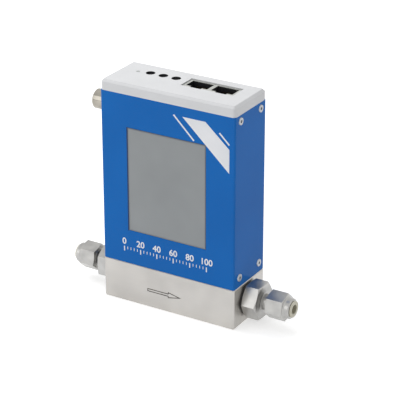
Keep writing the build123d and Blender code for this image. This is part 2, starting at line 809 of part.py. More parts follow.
# ---- Status lamp: a light pipe on the interface board ----
with BuildPart() as status_lamp:
    with BuildSketch(Plane(origin=(lamp_x, lamp_y, interface_board_top))):
        Circle(lamp_foot / 2)
    extrude(amount=lamp_foot_height)
    with BuildSketch(Plane(origin=(lamp_x, lamp_y, interface_board_top))):
        Circle(lamp_diameter / 2)
    extrude(amount=cap_top - interface_board_top)
    chamfer(status_lamp.faces().sort_by(Axis.Z)[-1].edges(), length=lamp_bevel)
status_lamp.part.label = "status_lamp"
export_step(status_lamp.part, "parts/status_lamp.step")

# ---- Flow sensor: a base on the block, a bent capillary tube with two windings, and a cover ----
sensor_base_top = block_top + sensor_base_height
with BuildPart() as sensor_base:
    with BuildSketch(Plane.XY.offset(block_top)):
        with Locations((sensor_x, sensor_y)):
            Rectangle(sensor_base_length, sensor_base_depth)
        with Locations(*[(x, sensor_y) for x in sensor_screw_xs]):
            Circle(case_screw_thread / 2 + screw_gap, mode=Mode.SUBTRACT)
        with Locations(*[(x, sensor_y) for x in sensor_legs]):
            Circle(sensor_tube_diameter / 2 + tube_gap, mode=Mode.SUBTRACT)
    extrude(amount=sensor_base_height)
    with BuildSketch(Plane.XY.offset(block_top)):
        with Locations(*[(x, sensor_y) for x in sensor_legs]):
            Circle(seal_bore / 2 + seal_section)
    extrude(amount=seal_section, mode=Mode.SUBTRACT)
sensor_base.part.label = "sensor_base"
export_step(sensor_base.part, "parts/sensor_base.step")

with BuildPart() as sensor_seals:
    with BuildSketch(Plane.XY.offset(block_top)):
        with Locations(*[(x, sensor_y) for x in sensor_legs]):
            Circle(seal_bore / 2 + seal_section - tube_gap)
            Circle(seal_bore / 2, mode=Mode.SUBTRACT)
    extrude(amount=seal_section)
sensor_seals.part.label = "sensor_seals"
export_step(sensor_seals.part, "parts/sensor_seals.step")

sensor_tube_top = sensor_base_top + sensor_tube_rise
sensor_foot = block_top + seal_section
with BuildPart() as sensor_tube:
    with BuildLine() as sensor_route:
        FilletPolyline(
            (sensor_legs[0], sensor_y, sensor_foot),
            (sensor_legs[0], sensor_y, sensor_tube_top),
            (sensor_legs[1], sensor_y, sensor_tube_top),
            (sensor_legs[1], sensor_y, sensor_foot),
            radius=sensor_tube_bend,
        )
    with BuildSketch(Plane(origin=(sensor_legs[0], sensor_y, sensor_foot))):
        Circle(sensor_tube_diameter / 2)
    sweep()
sensor_tube.part.label = "sensor_tube"
export_step(sensor_tube.part, "parts/sensor_tube.step")

winding_xs = [sensor_x + side * (winding_length + winding_spacing) / 2 for side in (-1, 1)]
with BuildPart() as sensor_windings:
    for winding_x in winding_xs:
        with BuildSketch(facing_right(winding_x - winding_length / 2, sensor_y, sensor_tube_top)):
            Circle(winding_diameter / 2)
            Circle(sensor_tube_diameter / 2 + winding_gap, mode=Mode.SUBTRACT)
        extrude(amount=winding_length)
sensor_windings.part.label = "sensor_windings"
export_step(sensor_windings.part, "parts/sensor_windings.step")

with BuildPart() as sensor_cover:
    with BuildSketch(Plane.XY.offset(sensor_base_top)):
        with Locations((sensor_x, sensor_y)):
            Rectangle(cover_length, sensor_base_depth)
    extrude(amount=cover_height)
    with BuildSketch(Plane.XY.offset(sensor_base_top)):
        with Locations((sensor_x, sensor_y)):
            Rectangle(cover_length - 2 * cover_wall, sensor_base_depth - 2 * cover_wall)
    extrude(amount=cover_height - cover_wall, mode=Mode.SUBTRACT)
    with BuildSketch(Plane.XY.offset(sensor_base_top + cover_height)):
        with Locations((sensor_x, sensor_y)):
            Rectangle(flex_width + 2 * flex_slot_side_gap, flex_thickness + 2 * flex_slot_face_gap)
    extrude(amount=-cover_wall, mode=Mode.SUBTRACT)
sensor_cover.part.label = "sensor_cover"
export_step(sensor_cover.part, "parts/sensor_cover.step")

# A flat flexible strip: up from the windings, through the cover's slot, and back onto the control board.
flex_bottom = sensor_tube_top + winding_diameter / 2
flex_turn = sensor_base_top + cover_height + flex_rise
with BuildPart() as sensor_flex:
    with BuildSketch(facing_right(sensor_x - flex_width / 2)):
        with BuildLine():
            Polyline(
                (sensor_y - flex_thickness / 2, flex_bottom),
                (sensor_y - flex_thickness / 2, flex_turn),
                (control_board_y, flex_turn),
                (control_board_y, flex_turn - flex_thickness),
                (sensor_y + flex_thickness / 2, flex_turn - flex_thickness),
                (sensor_y + flex_thickness / 2, flex_bottom),
                close=True,
            )
        make_face()
    extrude(amount=flex_width)
sensor_flex.part.label = "sensor_flex"
export_step(sensor_flex.part, "parts/sensor_flex.step")

# ---- Filter and laminar flow element, in the block's chamber ----
chamber_start_x = -half_length + port_depth
with BuildPart() as inlet_filter:
    with BuildSketch(facing_right(chamber_start_x, 0, port_height)):
        Circle(chamber_diameter / 2 - element_gap)
    extrude(amount=filter_thickness)
inlet_filter.part.label = "inlet_filter"
export_step(inlet_filter.part, "parts/inlet_filter.step")

with BuildPart() as flow_element:
    with BuildSketch(facing_right(sensor_x - element_length / 2, 0, port_height)):
        Circle(chamber_diameter / 2 - element_gap)
        with PolarLocations(chamber_diameter / 2 - element_hole_inset, element_hole_count):
            Circle(element_hole / 2, mode=Mode.SUBTRACT)
        Circle(element_hole / 2, mode=Mode.SUBTRACT)
    extrude(amount=element_length)
flow_element.part.label = "flow_element"
export_step(flow_element.part, "parts/flow_element.step")

# ---- Control valve: seat, plunger and spring inside a steel tube, with a coil in a can round it ----
with BuildPart() as valve_seat:
    with BuildSketch(Plane(origin=(valve_x, valve_y, valve_seat_level - seat_thickness))):
        Circle(valve_pocket / 2 - element_gap)
    extrude(amount=seat_thickness)
    with BuildSketch(Plane(origin=(valve_x, valve_y, valve_seat_level))):
        Circle(seat_lip_diameter / 2)
    extrude(amount=seat_lip_height)
    with BuildSketch(Plane(origin=(valve_x, valve_y, valve_seat_level - seat_thickness))):
        Circle(seat_orifice / 2)
    extrude(amount=seat_thickness + seat_lip_height, mode=Mode.SUBTRACT)
valve_seat.part.label = "valve_seat"
export_step(valve_seat.part, "parts/valve_seat.step")

with BuildPart() as valve_plunger:
    with BuildSketch(Plane(origin=(valve_x, valve_y, plunger_bottom))):
        Circle(plunger_diameter / 2)
    extrude(amount=plunger_length)
    with BuildSketch(Plane(origin=(valve_x, valve_y, plunger_top))):
        Circle(spring_diameter / 2 + spring_wire)
    extrude(amount=-spring_pocket, mode=Mode.SUBTRACT)
valve_plunger.part.label = "valve_plunger"
export_step(valve_plunger.part, "parts/valve_plunger.step")

with BuildPart() as valve_spring:
    with BuildLine():
        Helix(
            pitch=(spring_length - spring_wire) / spring_turns,
            height=spring_length - spring_wire,
            radius=(spring_diameter - spring_wire) / 2,
            center=(valve_x, valve_y, core_bottom - spring_length + spring_wire / 2),
        )
    with BuildSketch(Plane(
        origin=(valve_x + (spring_diameter - spring_wire) / 2, valve_y,
                core_bottom - spring_length + spring_wire / 2),
        x_dir=(1, 0, 0), z_dir=(0, 1, 0),
    )):
        RegularPolygon(spring_wire / 2 - spring_end_gap, 4)
    sweep(is_frenet=True)
valve_spring.part.label = "valve_spring"
export_step(valve_spring.part, "parts/valve_spring.step")

with BuildPart() as valve_tube:
    with BuildSketch(Plane.XY.offset(block_top)):
        with Locations((valve_x, valve_y)):
            Rectangle(valve_flange_length, valve_flange_depth)
        with Locations(*[(x, valve_y) for x in valve_screw_xs]):
            Circle(case_screw_thread / 2 + screw_gap, mode=Mode.SUBTRACT)
    extrude(amount=valve_flange_height)
    with BuildSketch(Plane.XY.offset(block_top)):
        with Locations((valve_x, valve_y)):
            Circle(valve_tube_outside / 2)
    extrude(amount=valve_flange_height + coil_height)
    with BuildSketch(Plane.XY.offset(coil_top)):
        with Locations((valve_x, valve_y)):
            Circle(stem_thread / 2)
    extrude(amount=can_wall + stem_nut_height + stem_proud)
    with BuildSketch(Plane.XY.offset(block_top)):
        with Locations((valve_x, valve_y)):
            Circle(valve_tube_bore / 2)
    extrude(amount=core_bottom - block_top, mode=Mode.SUBTRACT)
    with BuildSketch(Plane.XY.offset(block_top)):
        with Locations((valve_x, valve_y)):
            Circle(valve_pocket / 2 + seal_section)
            Circle(valve_pocket / 2, mode=Mode.SUBTRACT)
    extrude(amount=seal_section, mode=Mode.SUBTRACT)
valve_tube.part.label = "valve_tube"
export_step(valve_tube.part, "parts/valve_tube.step")

with BuildPart() as valve_seal:
    with BuildSketch(Plane.XY.offset(block_top)):
        with Locations((valve_x, valve_y)):
            Circle(valve_pocket / 2 + seal_section - tube_gap)
            Circle(valve_pocket / 2 + tube_gap, mode=Mode.SUBTRACT)
    extrude(amount=seal_section)
valve_seal.part.label = "valve_seal"
export_step(valve_seal.part, "parts/valve_seal.step")

bobbin_bore = valve_tube_outside + 2 * tube_gap
winding_bore = bobbin_bore + 2 * bobbin_wall
can_bore = can_diameter - 2 * can_wall
with BuildPart() as valve_bobbin:
    with BuildSketch(Plane.XZ.offset(-valve_y)):
        with BuildLine():
            Polyline(
                (valve_x + bobbin_bore / 2, coil_bottom),
                (valve_x + can_bore / 2 - tube_gap, coil_bottom),
                (valve_x + can_bore / 2 - tube_gap, coil_bottom + bobbin_wall),
                (valve_x + winding_bore / 2, coil_bottom + bobbin_wall),
                (valve_x + winding_bore / 2, coil_top - bobbin_wall),
                (valve_x + can_bore / 2 - tube_gap, coil_top - bobbin_wall),
                (valve_x + can_bore / 2 - tube_gap, coil_top),
                (valve_x + bobbin_bore / 2, coil_top),
                close=True,
            )
        make_face()
    revolve(axis=Axis((valve_x, valve_y, 0), (0, 0, 1)))
valve_bobbin.part.label = "valve_bobbin"
export_step(valve_bobbin.part, "parts/valve_bobbin.step")

with BuildPart() as valve_winding:
    with BuildSketch(Plane.XY.offset(coil_bottom + bobbin_wall)):
        with Locations((valve_x, valve_y)):
            Circle(can_bore / 2 - winding_side_gap)
            Circle(winding_bore / 2, mode=Mode.SUBTRACT)
    extrude(amount=coil_height - 2 * bobbin_wall)
valve_winding.part.label = "valve_winding"
export_step(valve_winding.part, "parts/valve_winding.step")

lead_z = coil_top - bobbin_wall - lead_drop
with BuildPart() as valve_can:
    with BuildSketch(Plane.XY.offset(coil_bottom)):
        with Locations((valve_x, valve_y)):
            Circle(can_diameter / 2)
    extrude(amount=coil_height + can_wall)
    with BuildSketch(Plane.XY.offset(coil_bottom)):
        with Locations((valve_x, valve_y)):
            Circle(can_bore / 2)
    extrude(amount=coil_height, mode=Mode.SUBTRACT)
    with BuildSketch(Plane.XY.offset(coil_top)):
        with Locations((valve_x, valve_y)):
            Circle(stem_thread / 2 + tube_gap)
    extrude(amount=can_wall, mode=Mode.SUBTRACT)
    with BuildSketch(facing_front(control_board_y, valve_x, lead_z)):
        Rectangle(lead_spacing + 2 * lead_diameter, 2 * lead_diameter)
    extrude(amount=control_board_y - valve_y, mode=Mode.SUBTRACT)
valve_can.part.label = "valve_can"
export_step(valve_can.part, "parts/valve_can.step")

with BuildPart() as valve_nut:
    with BuildSketch(Plane.XY.offset(coil_top + can_wall)):
        with Locations((valve_x, valve_y)):
            RegularPolygon(stem_nut_flats / 2, 6, major_radius=False)
            Circle(stem_thread / 2 + tube_gap, mode=Mode.SUBTRACT)
    extrude(amount=stem_nut_height)
valve_nut.part.label = "valve_nut"
export_step(valve_nut.part, "parts/valve_nut.step")

winding_radius = can_bore / 2 - winding_side_gap
lead_start_y = valve_y + (winding_radius ** 2 - (lead_spacing / 2 - lead_diameter / 2) ** 2) ** 0.5
with BuildPart() as valve_leads:
    with BuildSketch(facing_front(control_board_y, valve_x, lead_z)):
        with GridLocations(lead_spacing, 0, 2, 1):
            Circle(lead_diameter / 2)
    extrude(amount=control_board_y - lead_start_y)
valve_leads.part.label = "valve_leads"
export_step(valve_leads.part, "parts/valve_leads.step")

# ---- Power connector: a round threaded barrel in the left wall, held by a nut inside ----
connector_axis = Axis((0, 0, connector_z), (1, 0, 0))
connector_profile = [
    (-housing_wall - connector_inside, connector_thread / 2 - connector_liner),
    (-housing_wall - connector_inside, connector_thread / 2),
    (connector_seal, connector_thread / 2),
    (connector_seal, connector_barrel / 2),
    (connector_reach - connector_bevel, connector_barrel / 2),
    (connector_reach, connector_barrel / 2 - connector_bevel),
    (connector_reach, connector_bore / 2),
    (connector_reach - connector_insert_depth, connector_bore / 2),
    (connector_reach - connector_insert_depth, connector_thread / 2 - connector_liner),
]
with BuildPart() as power_connector_shell:
    with BuildSketch(facing_front(0, 0, connector_z)):
        with BuildLine():
            Polyline(*outward(-1, connector_profile), close=True)
        make_face()
    revolve(axis=connector_axis)
power_connector_shell.part.label = "power_connector_shell"
export_step(power_connector_shell.part, "parts/power_connector_shell.step")

insert_front_x = -half_length - connector_reach + connector_insert_depth
insert_back_x = -cavity_half_length + connector_inside
with BuildPart() as power_connector_insert:
    with BuildSketch(facing_right(insert_front_x, 0, connector_z)):
        Circle(connector_thread / 2 - connector_liner)
        with PolarLocations(pin_circle / 2, pin_count):
            Circle(pin_diameter / 2, mode=Mode.SUBTRACT)
    extrude(amount=insert_back_x - insert_front_x)
power_connector_insert.part.label = "power_connector_insert"
export_step(power_connector_insert.part, "parts/power_connector_insert.step")

with BuildPart() as power_connector_pins:
    with BuildSketch(facing_right(insert_front_x - pin_length, 0, connector_z)):
        with PolarLocations(pin_circle / 2, pin_count):
            Circle(pin_diameter / 2)
    extrude(amount=pin_length + insert_back_x - insert_front_x + pin_tail)
power_connector_pins.part.label = "power_connector_pins"
export_step(power_connector_pins.part, "parts/power_connector_pins.step")

with BuildPart() as power_connector_nut:
    with BuildSketch(facing_right(-cavity_half_length, 0, connector_z)):
        RegularPolygon(connector_nut_flats / 2, 6, major_radius=False)
        Circle(connector_thread / 2 + tube_gap, mode=Mode.SUBTRACT)
    extrude(amount=connector_nut_height)
power_connector_nut.part.label = "power_connector_nut"
export_step(power_connector_nut.part, "parts/power_connector_nut.step")

with BuildPart() as power_connector_seal:
    with BuildSketch(facing_right(-half_length, 0, connector_z)):
        Circle(connector_barrel / 2 - tube_gap)
        Circle(connector_thread / 2 + tube_gap, mode=Mode.SUBTRACT)
    extrude(amount=-connector_seal)
power_connector_seal.part.label = "power_connector_seal"
export_step(power_connector_seal.part, "parts/power_connector_seal.step")

# ---- Tube fittings: the same set of pieces at both ends of the block, by distance out from its end ----
hex_start = port_seal_thickness
hex_end = hex_start + body_hex_length
stem_start = hex_end + neck_length
stem_end = stem_start + stem_length
socket_bottom = stem_end - tube_socket_depth
tube_bore = tube_diameter / 2 + tube_gap
nut_start = stem_start - nut_lead
nut_hex_end = nut_start + nut_hex_length
nut_end = nut_hex_end + nut_nose_length
nut_bore = stem_diameter / 2 + tube_gap
plug_rim_start = nut_end + plug_rim_gap
shoulder = nut_hex_end - shoulder_inset
cone_rise = nut_bore - tube_bore - cone_wall
body_hex_corner = body_hex_flats / 3 ** 0.5
nut_hex_corner = nut_flats / 3 ** 0.5

with BuildPart() as port_seals:
    for side in (-1, 1):
        with BuildSketch(facing_right(side * half_length, 0, port_height)):
            Circle(body_hex_flats / 2 - hex_bevel)
            Circle(port_thread / 2 + tube_gap, mode=Mode.SUBTRACT)
        extrude(amount=side * port_seal_thickness)
port_seals.part.label = "port_seals"
export_step(port_seals.part, "parts/port_seals.step")

for end, side, body_turn in (("inlet", -1, inlet_body_turn), ("outlet", 1, outlet_body_turn)):
    with BuildPart() as fitting:
        with BuildSketch(facing_right(side * (half_length + hex_start), 0, port_height)):
            RegularPolygon(body_hex_flats / 2, 6, major_radius=False, rotation=body_turn)
        extrude(amount=side * body_hex_length)
        with BuildSketch(facing_front(0, 0, port_height)):
            with BuildLine():
                Polyline(*outward(side, [
                    (hex_start, 0),
                    (hex_start, body_hex_flats / 2 - body_face_lip),
                    (hex_start + hex_bevel, body_hex_corner),
                    (hex_end - hex_bevel, body_hex_corner),
                    (hex_end, body_hex_flats / 2 - body_face_lip),
                    (hex_end, 0),
                ]), close=True)
            make_face()
        revolve(axis=port_axis, mode=Mode.INTERSECT)
        with BuildSketch(facing_front(0, 0, port_height)):
            with BuildLine():
                Polyline(*outward(side, [
                    (-port_depth + port_end_gap, fitting_bore / 2),
                    (-port_depth + port_end_gap, port_thread / 2),
                    (hex_end, port_thread / 2),
                    (hex_end, neck_diameter / 2),
                    (stem_start, neck_diameter / 2),
                    (stem_start, stem_diameter / 2),
                    (stem_end, stem_diameter / 2),
                    (stem_end, tube_bore + cone_rise),
                    (stem_end - cone_length, tube_bore),
                    (socket_bottom, tube_bore),
                    (socket_bottom, fitting_bore / 2),
                ]), close=True)
            make_face()
        revolve(axis=port_axis)
        with BuildSketch(facing_right(0, 0, port_height)):
            Circle(fitting_bore / 2)
        extrude(amount=side * (half_length + stem_end), mode=Mode.SUBTRACT)
    fitting.part.label = f"{end}_fitting"
    export_step(fitting.part, f"parts/{end}_fitting.step")

    with BuildPart() as nut:
        with BuildSketch(facing_right(side * (half_length + nut_start), 0, port_height)):
            RegularPolygon(nut_flats / 2, 6, major_radius=False, rotation=nut_turn)
        extrude(amount=side * nut_hex_length)
        with BuildSketch(facing_front(0, 0, port_height)):
            with BuildLine():
                Polyline(*outward(side, [
                    (nut_start, 0),
                    (nut_start, nut_flats / 2 - nut_back_lip),
                    (nut_start + hex_bevel, nut_hex_corner),
                    (nut_hex_end - hex_bevel, nut_hex_corner),
                    (nut_hex_end, nut_flats / 2 - nut_front_lip),
                    (nut_hex_end, 0),
                ]), close=True)
            make_face()
        revolve(axis=port_axis, mode=Mode.INTERSECT)
        with BuildSketch(facing_front(0, 0, port_height)):
            with BuildLine():
                Polyline(*outward(side, [
                    (nut_hex_end - nose_overlap, 0),
                    (nut_hex_end - nose_overlap, nut_flats / 2 - nose_bevel),
                    (nut_hex_end, nut_flats / 2 - nose_bevel),
                    (nut_end - nose_bevel, nut_nose_diameter / 2),
                    (nut_end, nut_nose_diameter / 2 - nose_bevel),
                    (nut_end, 0),
                ]), close=True)
            make_face()
        revolve(axis=port_axis)
        with BuildSketch(facing_front(0, 0, port_height)):
            with BuildLine():
                Polyline(*outward(side, [
                    (nut_start, 0),
                    (nut_start, nut_bore),
                    (shoulder - (nut_bore - tube_bore), nut_bore),
                    (shoulder, tube_bore),
                    (nut_end, tube_bore),
                    (nut_end, 0),
                ]), close=True)
            make_face()
        revolve(axis=port_axis, mode=Mode.SUBTRACT)
    nut.part.label = f"{end}_nut"
    export_step(nut.part, f"parts/{end}_nut.step")

    with BuildPart() as dust_plug:
        with BuildSketch(facing_front(0, 0, port_height)):
            with BuildLine():
                Polyline(*outward(side, [
                    (plug_rim_start - plug_length, 0),
                    (plug_rim_start - plug_length, tube_diameter / 2),
                    (plug_rim_start, tube_diameter / 2),
                    (plug_rim_start, plug_rim_diameter / 2),
                    (plug_rim_start + plug_rim_thickness, plug_rim_diameter / 2),
                    (plug_rim_start + plug_rim_thickness, tube_diameter / 2 - plug_wall),
                    (plug_rim_start - plug_length + plug_floor, tube_diameter / 2 - plug_wall),
                    (plug_rim_start - plug_length + plug_floor, 0),
                ]), close=True)
            make_face()
        revolve(axis=port_axis)
    dust_plug.part.label = f"{end}_dust_plug"
    export_step(dust_plug.part, f"parts/{end}_dust_plug.step")

# The two ferrules of each fitting follow the cone in the stem's mouth and the cone in the nut.
cone_slope = cone_rise / cone_length
front_start = stem_end - cone_length + ferrule_nose
front_end = stem_end + front_ferrule_back
back_end = shoulder - ferrule_spacing
for name, profile in (
    ("front_ferrules", [
        (front_start, tube_bore),
        (front_start, tube_bore + cone_slope * ferrule_nose - ferrule_gap),
        (stem_end, tube_bore + cone_rise - ferrule_gap),
        (front_end, tube_bore + cone_rise - ferrule_gap),
        (front_end - ferrule_spacing, tube_bore),
    ]),
    ("back_ferrules", [
        (front_end - ferrule_lip, tube_bore),
        (front_end + tube_gap, tube_bore + ferrule_thickness),
        (back_end - ferrule_taper, tube_bore + ferrule_thickness),
        (back_end, tube_bore + ferrule_lip),
        (back_end, tube_bore),
    ]),
):
    with BuildPart() as ferrules:
        for side in (-1, 1):
            with BuildSketch(facing_front(0, 0, port_height)):
                with BuildLine():
                    Polyline(*outward(side, profile), close=True)
                make_face()
            revolve(axis=port_axis)
    ferrules.part.label = name
    export_step(ferrules.part, f"parts/{name}.step")
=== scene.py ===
"""The looks of a mass flow controller, built round its CAD model.

Metres, in the CAD model's frame: +X along the gas flow, the display faces -Y, +Z up.
"""

import math

import bmesh
import bpy
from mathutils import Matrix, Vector


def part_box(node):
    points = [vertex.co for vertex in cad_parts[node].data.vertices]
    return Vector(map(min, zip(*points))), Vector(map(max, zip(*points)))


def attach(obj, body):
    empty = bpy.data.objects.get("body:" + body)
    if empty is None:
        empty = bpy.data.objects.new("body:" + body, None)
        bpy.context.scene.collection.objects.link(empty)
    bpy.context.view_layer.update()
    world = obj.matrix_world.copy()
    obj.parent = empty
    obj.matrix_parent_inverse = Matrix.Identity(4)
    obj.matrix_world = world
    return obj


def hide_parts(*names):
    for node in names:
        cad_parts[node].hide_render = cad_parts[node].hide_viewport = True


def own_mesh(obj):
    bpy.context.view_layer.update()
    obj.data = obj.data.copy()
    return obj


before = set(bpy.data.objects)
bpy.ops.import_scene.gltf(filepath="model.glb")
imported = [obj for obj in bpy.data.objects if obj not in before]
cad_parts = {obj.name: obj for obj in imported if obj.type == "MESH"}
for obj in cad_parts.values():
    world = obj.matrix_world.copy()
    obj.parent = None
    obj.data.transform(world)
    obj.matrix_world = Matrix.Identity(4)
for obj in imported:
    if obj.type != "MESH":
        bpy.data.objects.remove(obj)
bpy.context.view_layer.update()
mm = 0.001
scene = bpy.context.scene
scene.view_settings.view_transform = "Standard"

# ---- Studio ----
# A long lens looks down on the controller's front and right side. It stands on a plain white floor
# in a pale room, under two large dim soft boxes.
camera_place = Vector((0.42499, -0.69595, 0.42513))
camera_target = Vector((0.00925, 0.00333, 0.05590))
camera_data = bpy.data.cameras.new("camera")
camera_data.sensor_width = 36
camera_data.lens = 159.40
camera = bpy.data.objects.new("camera", camera_data)
camera.location = camera_place
camera.rotation_euler = (camera_target - camera_place).to_track_quat("-Z", "Y").to_euler()
scene.collection.objects.link(camera)
scene.camera = camera
object_middle = Vector((0, 0, 0.06))


def soft_box(name, place, width, height, power, mirrored=True):
    """A lamp of this size that looks at the object's middle, and shows in its gloss or not."""
    lamp = bpy.data.lights.new(name, "AREA")
    lamp.shape = "RECTANGLE"
    lamp.size = width
    lamp.size_y = height
    lamp.energy = power
    holder = bpy.data.objects.new(name, lamp)
    holder.location = place
    holder.rotation_euler = (object_middle - Vector(place)).to_track_quat("-Z", "Y").to_euler()
    holder.visible_glossy = mirrored
    scene.collection.objects.link(holder)


soft_box("front_light", (-0.8, -1.4, 0.7), 1.2, 1.1, 4.4)
soft_box("top_light", (-0.6, 0.2, 1.15), 1.4, 1.2, 9.6, mirrored=False)


def add_node(tree, kind, **settings):
    """A new shader node with these settings."""
    node = tree.nodes.new(kind)
    for setting, value in settings.items():
        setattr(node, setting, value)
    return node


def join(tree, source, target):
    """Links an output to an input."""
    tree.links.new(source, target)


def seen_directly(tree):
    """1 for what the camera sees, also in a mirror or through glass, and 0 for falling light."""
    path = add_node(tree, "ShaderNodeLightPath")
    seen = path.outputs["Is Camera Ray"]
    for way in ("Is Glossy Ray", "Is Transmission Ray"):
        either = add_node(tree, "ShaderNodeMath", operation="MAXIMUM")
        join(tree, seen, either.inputs[0])
        join(tree, path.outputs[way], either.inputs[1])
        seen = either.outputs[0]
    return seen


def choose(tree, share, plain, chosen):
    """The plain value where the share is 0, and the chosen one where it is 1."""
    blend = add_node(tree, "ShaderNodeMix", data_type="FLOAT")
    join(tree, share, blend.inputs[0])
    blend.inputs[2].default_value = plain
    blend.inputs[3].default_value = chosen
    return blend.outputs[0]


room_light = 0.5


def light_the_room():
    """A pale room: white where it is seen, and soft even light on the object."""
    world = bpy.data.worlds.new("room")
    world.use_nodes = True
    tree = world.node_tree
    background = tree.nodes["Background"]
    background.inputs["Color"].default_value = (1, 1, 1, 1)
    strength = choose(tree, seen_directly(tree), room_light, 1.0)
    join(tree, strength, background.inputs["Strength"])
    scene.world = world


light_the_room()
floor_glow = 0.5
floor_reach = 6.0
floor_drop = 0.05 * mm


def floor_finish():
    """A plain white floor that takes the object's shadow, and glows enough to be seen white."""
    material = bpy.data.materials.new("white_floor")
    material.use_nodes = True
    material.cycles.emission_sampling = "NONE"
    tree = material.node_tree
    shader = tree.nodes["Principled BSDF"]
    shader.inputs["Base Color"].default_value = (0.85, 0.85, 0.85, 1)
    shader.inputs["Roughness"].default_value = 0.9
    shader.inputs["Specular IOR Level"].default_value = 0.0
    shader.inputs["Emission Color"].default_value = (1, 1, 1, 1)
    glow = choose(tree, seen_directly(tree), 0.0, floor_glow)
    join(tree, glow, shader.inputs["Emission Strength"])
    return material


floor_corners = [
    (x * floor_reach, y * floor_reach, -floor_drop)
    for x, y in ((-1, -1), (1, -1), (1, 1), (-1, 1))
]
floor_mesh = bpy.data.meshes.new("floor")
floor_mesh.from_pydata(floor_corners, [], [(0, 1, 2, 3)])
floor_mesh.materials.append(floor_finish())
floor = bpy.data.objects.new("floor", floor_mesh)
scene.collection.objects.link(floor)

# ---- Flow block ----
# A bar of stainless steel, 76 by 30 by 22 mm, milled all over and ground to a satin finish along
# its length. The tube fittings screw into its ends. An outline arrow in its front shows the flow.


def rgb(red, green, blue):
    """A colour written as a paint chart gives it, 0 to 255, as the shader's own values."""
    return tuple(
        part / 12.92 if part <= 0.04045 else ((part + 0.055) / 1.055) ** 2.4
        for part in (red / 255, green / 255, blue / 255)
    ) + (1.0,)


def grain_group():
    """Fine marks drawn out along one direction, and broad soft patches, both fixed to the piece."""
    group = bpy.data.node_groups.new("surface_grain", "ShaderNodeTree")
    for name, kind in (("Fineness", "Float"), ("Direction", "Vector"), ("Patch Fineness", "Float")):
        group.interface.new_socket(name, in_out="INPUT", socket_type="NodeSocket" + kind)
    for name in ("Marks", "Patches"):
        group.interface.new_socket(name, in_out="OUTPUT", socket_type="NodeSocketFloat")
    start = add_node(group, "NodeGroupInput")
    end = add_node(group, "NodeGroupOutput")
    place = add_node(group, "ShaderNodeTexCoord")
    stretch = add_node(group, "ShaderNodeVectorMath", operation="MULTIPLY")
    join(group, place.outputs["Object"], stretch.inputs[0])
    join(group, start.outputs["Direction"], stretch.inputs[1])
    fine = add_node(group, "ShaderNodeTexNoise")
    fine.inputs["Detail"].default_value = 3.0
    join(group, stretch.outputs[0], fine.inputs["Vector"])
    join(group, start.outputs["Fineness"], fine.inputs["Scale"])
    broad = add_node(group, "ShaderNodeTexNoise")
    broad.inputs["Detail"].default_value = 2.0
    join(group, place.outputs["Object"], broad.inputs["Vector"])
    join(group, start.outputs["Patch Fineness"], broad.inputs["Scale"])
    join(group, fine.outputs["Fac"], end.inputs["Marks"])
    join(group, broad.outputs["Fac"], end.inputs["Patches"])
    return group


surface_grain = grain_group()


def finish(
    name, dark, light, roughness, metallic=0.0,
    fineness=800, direction=(1, 1, 1), patches=60, depth=0.01,
):
    """A surface with its own grain: two near colours, a range of roughness, and a depth in mm."""
    material = bpy.data.materials.new(name)
    material.use_nodes = True
    tree = material.node_tree
    shader = tree.nodes["Principled BSDF"]
    shader.inputs["Metallic"].default_value = metallic
    grain = add_node(tree, "ShaderNodeGroup", node_tree=surface_grain)
    grain.inputs["Fineness"].default_value = fineness
    grain.inputs["Direction"].default_value = direction
    grain.inputs["Patch Fineness"].default_value = patches
    tone = add_node(tree, "ShaderNodeValToRGB")
    tone.color_ramp.elements[0].position = 0.3
    tone.color_ramp.elements[0].color = dark
    tone.color_ramp.elements[1].position = 0.7
    tone.color_ramp.elements[1].color = light
    join(tree, grain.outputs["Patches"], tone.inputs[0])
    join(tree, tone.outputs["Color"], shader.inputs["Base Color"])
    spread = add_node(tree, "ShaderNodeMapRange")
    spread.inputs["To Min"].default_value = roughness[0]
    spread.inputs["To Max"].default_value = roughness[1]
    join(tree, grain.outputs["Marks"], spread.inputs["Value"])
    join(tree, spread.outputs[0], shader.inputs["Roughness"])
    relief = add_node(tree, "ShaderNodeBump")
    relief.inputs["Strength"].default_value = 1.0
    relief.inputs["Distance"].default_value = depth * mm
    join(tree, grain.outputs["Marks"], relief.inputs["Height"])
    join(tree, relief.outputs["Normal"], shader.inputs["Normal"])
    return material


def plain_mesh(piece):
    """What a piece's modifiers or letters make, as a mesh of its own."""
    return bpy.data.meshes.new_from_object(
        piece.evaluated_get(bpy.context.evaluated_depsgraph_get())
    )


def rounded(piece, edge, angle=30):
    """Rounds a piece's sharp edges, and shades it smooth across them and flat between."""
    bevel = piece.modifiers.new("edges", "BEVEL")
    bevel.width = edge
    bevel.segments = 3
    bevel.limit_method = "ANGLE"
    bevel.angle_limit = math.radians(angle)
    made = plain_mesh(piece)
    piece.modifiers.clear()
    piece.data = made
    made.name = piece.name
    made.shade_smooth()
    made.set_sharp_from_angle(angle=math.radians(45))
    normals = piece.modifiers.new("normals", "WEIGHTED_NORMAL")
    normals.keep_sharp = True
    return piece


def new_piece(name, mesh, material):
    """A piece from a bmesh, at the origin, with its material."""
    data = bpy.data.meshes.new(name)
    mesh.to_mesh(data)
    mesh.free()
    if "custom_normal" in data.attributes:
        data.attributes.remove(data.attributes["custom_normal"])
    data.materials.append(material)
    for face in data.polygons:
        face.material_index = 0
    piece = bpy.data.objects.new(name, data)
    scene.collection.objects.link(piece)
    return piece


def finer_copy(node, name, material, edge):
    """A copy of a node with its triangles merged into whole faces and its sharp edges rounded."""
    mesh = bmesh.new()
    mesh.from_mesh(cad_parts[node].data)
    bmesh.ops.remove_doubles(mesh, verts=mesh.verts, dist=0.002 * mm)
    bmesh.ops.dissolve_limit(mesh, angle_limit=math.radians(1), verts=mesh.verts, edges=mesh.edges)
    bmesh.ops.recalc_face_normals(mesh, faces=mesh.faces)
    return rounded(new_piece(name, mesh, material), edge)


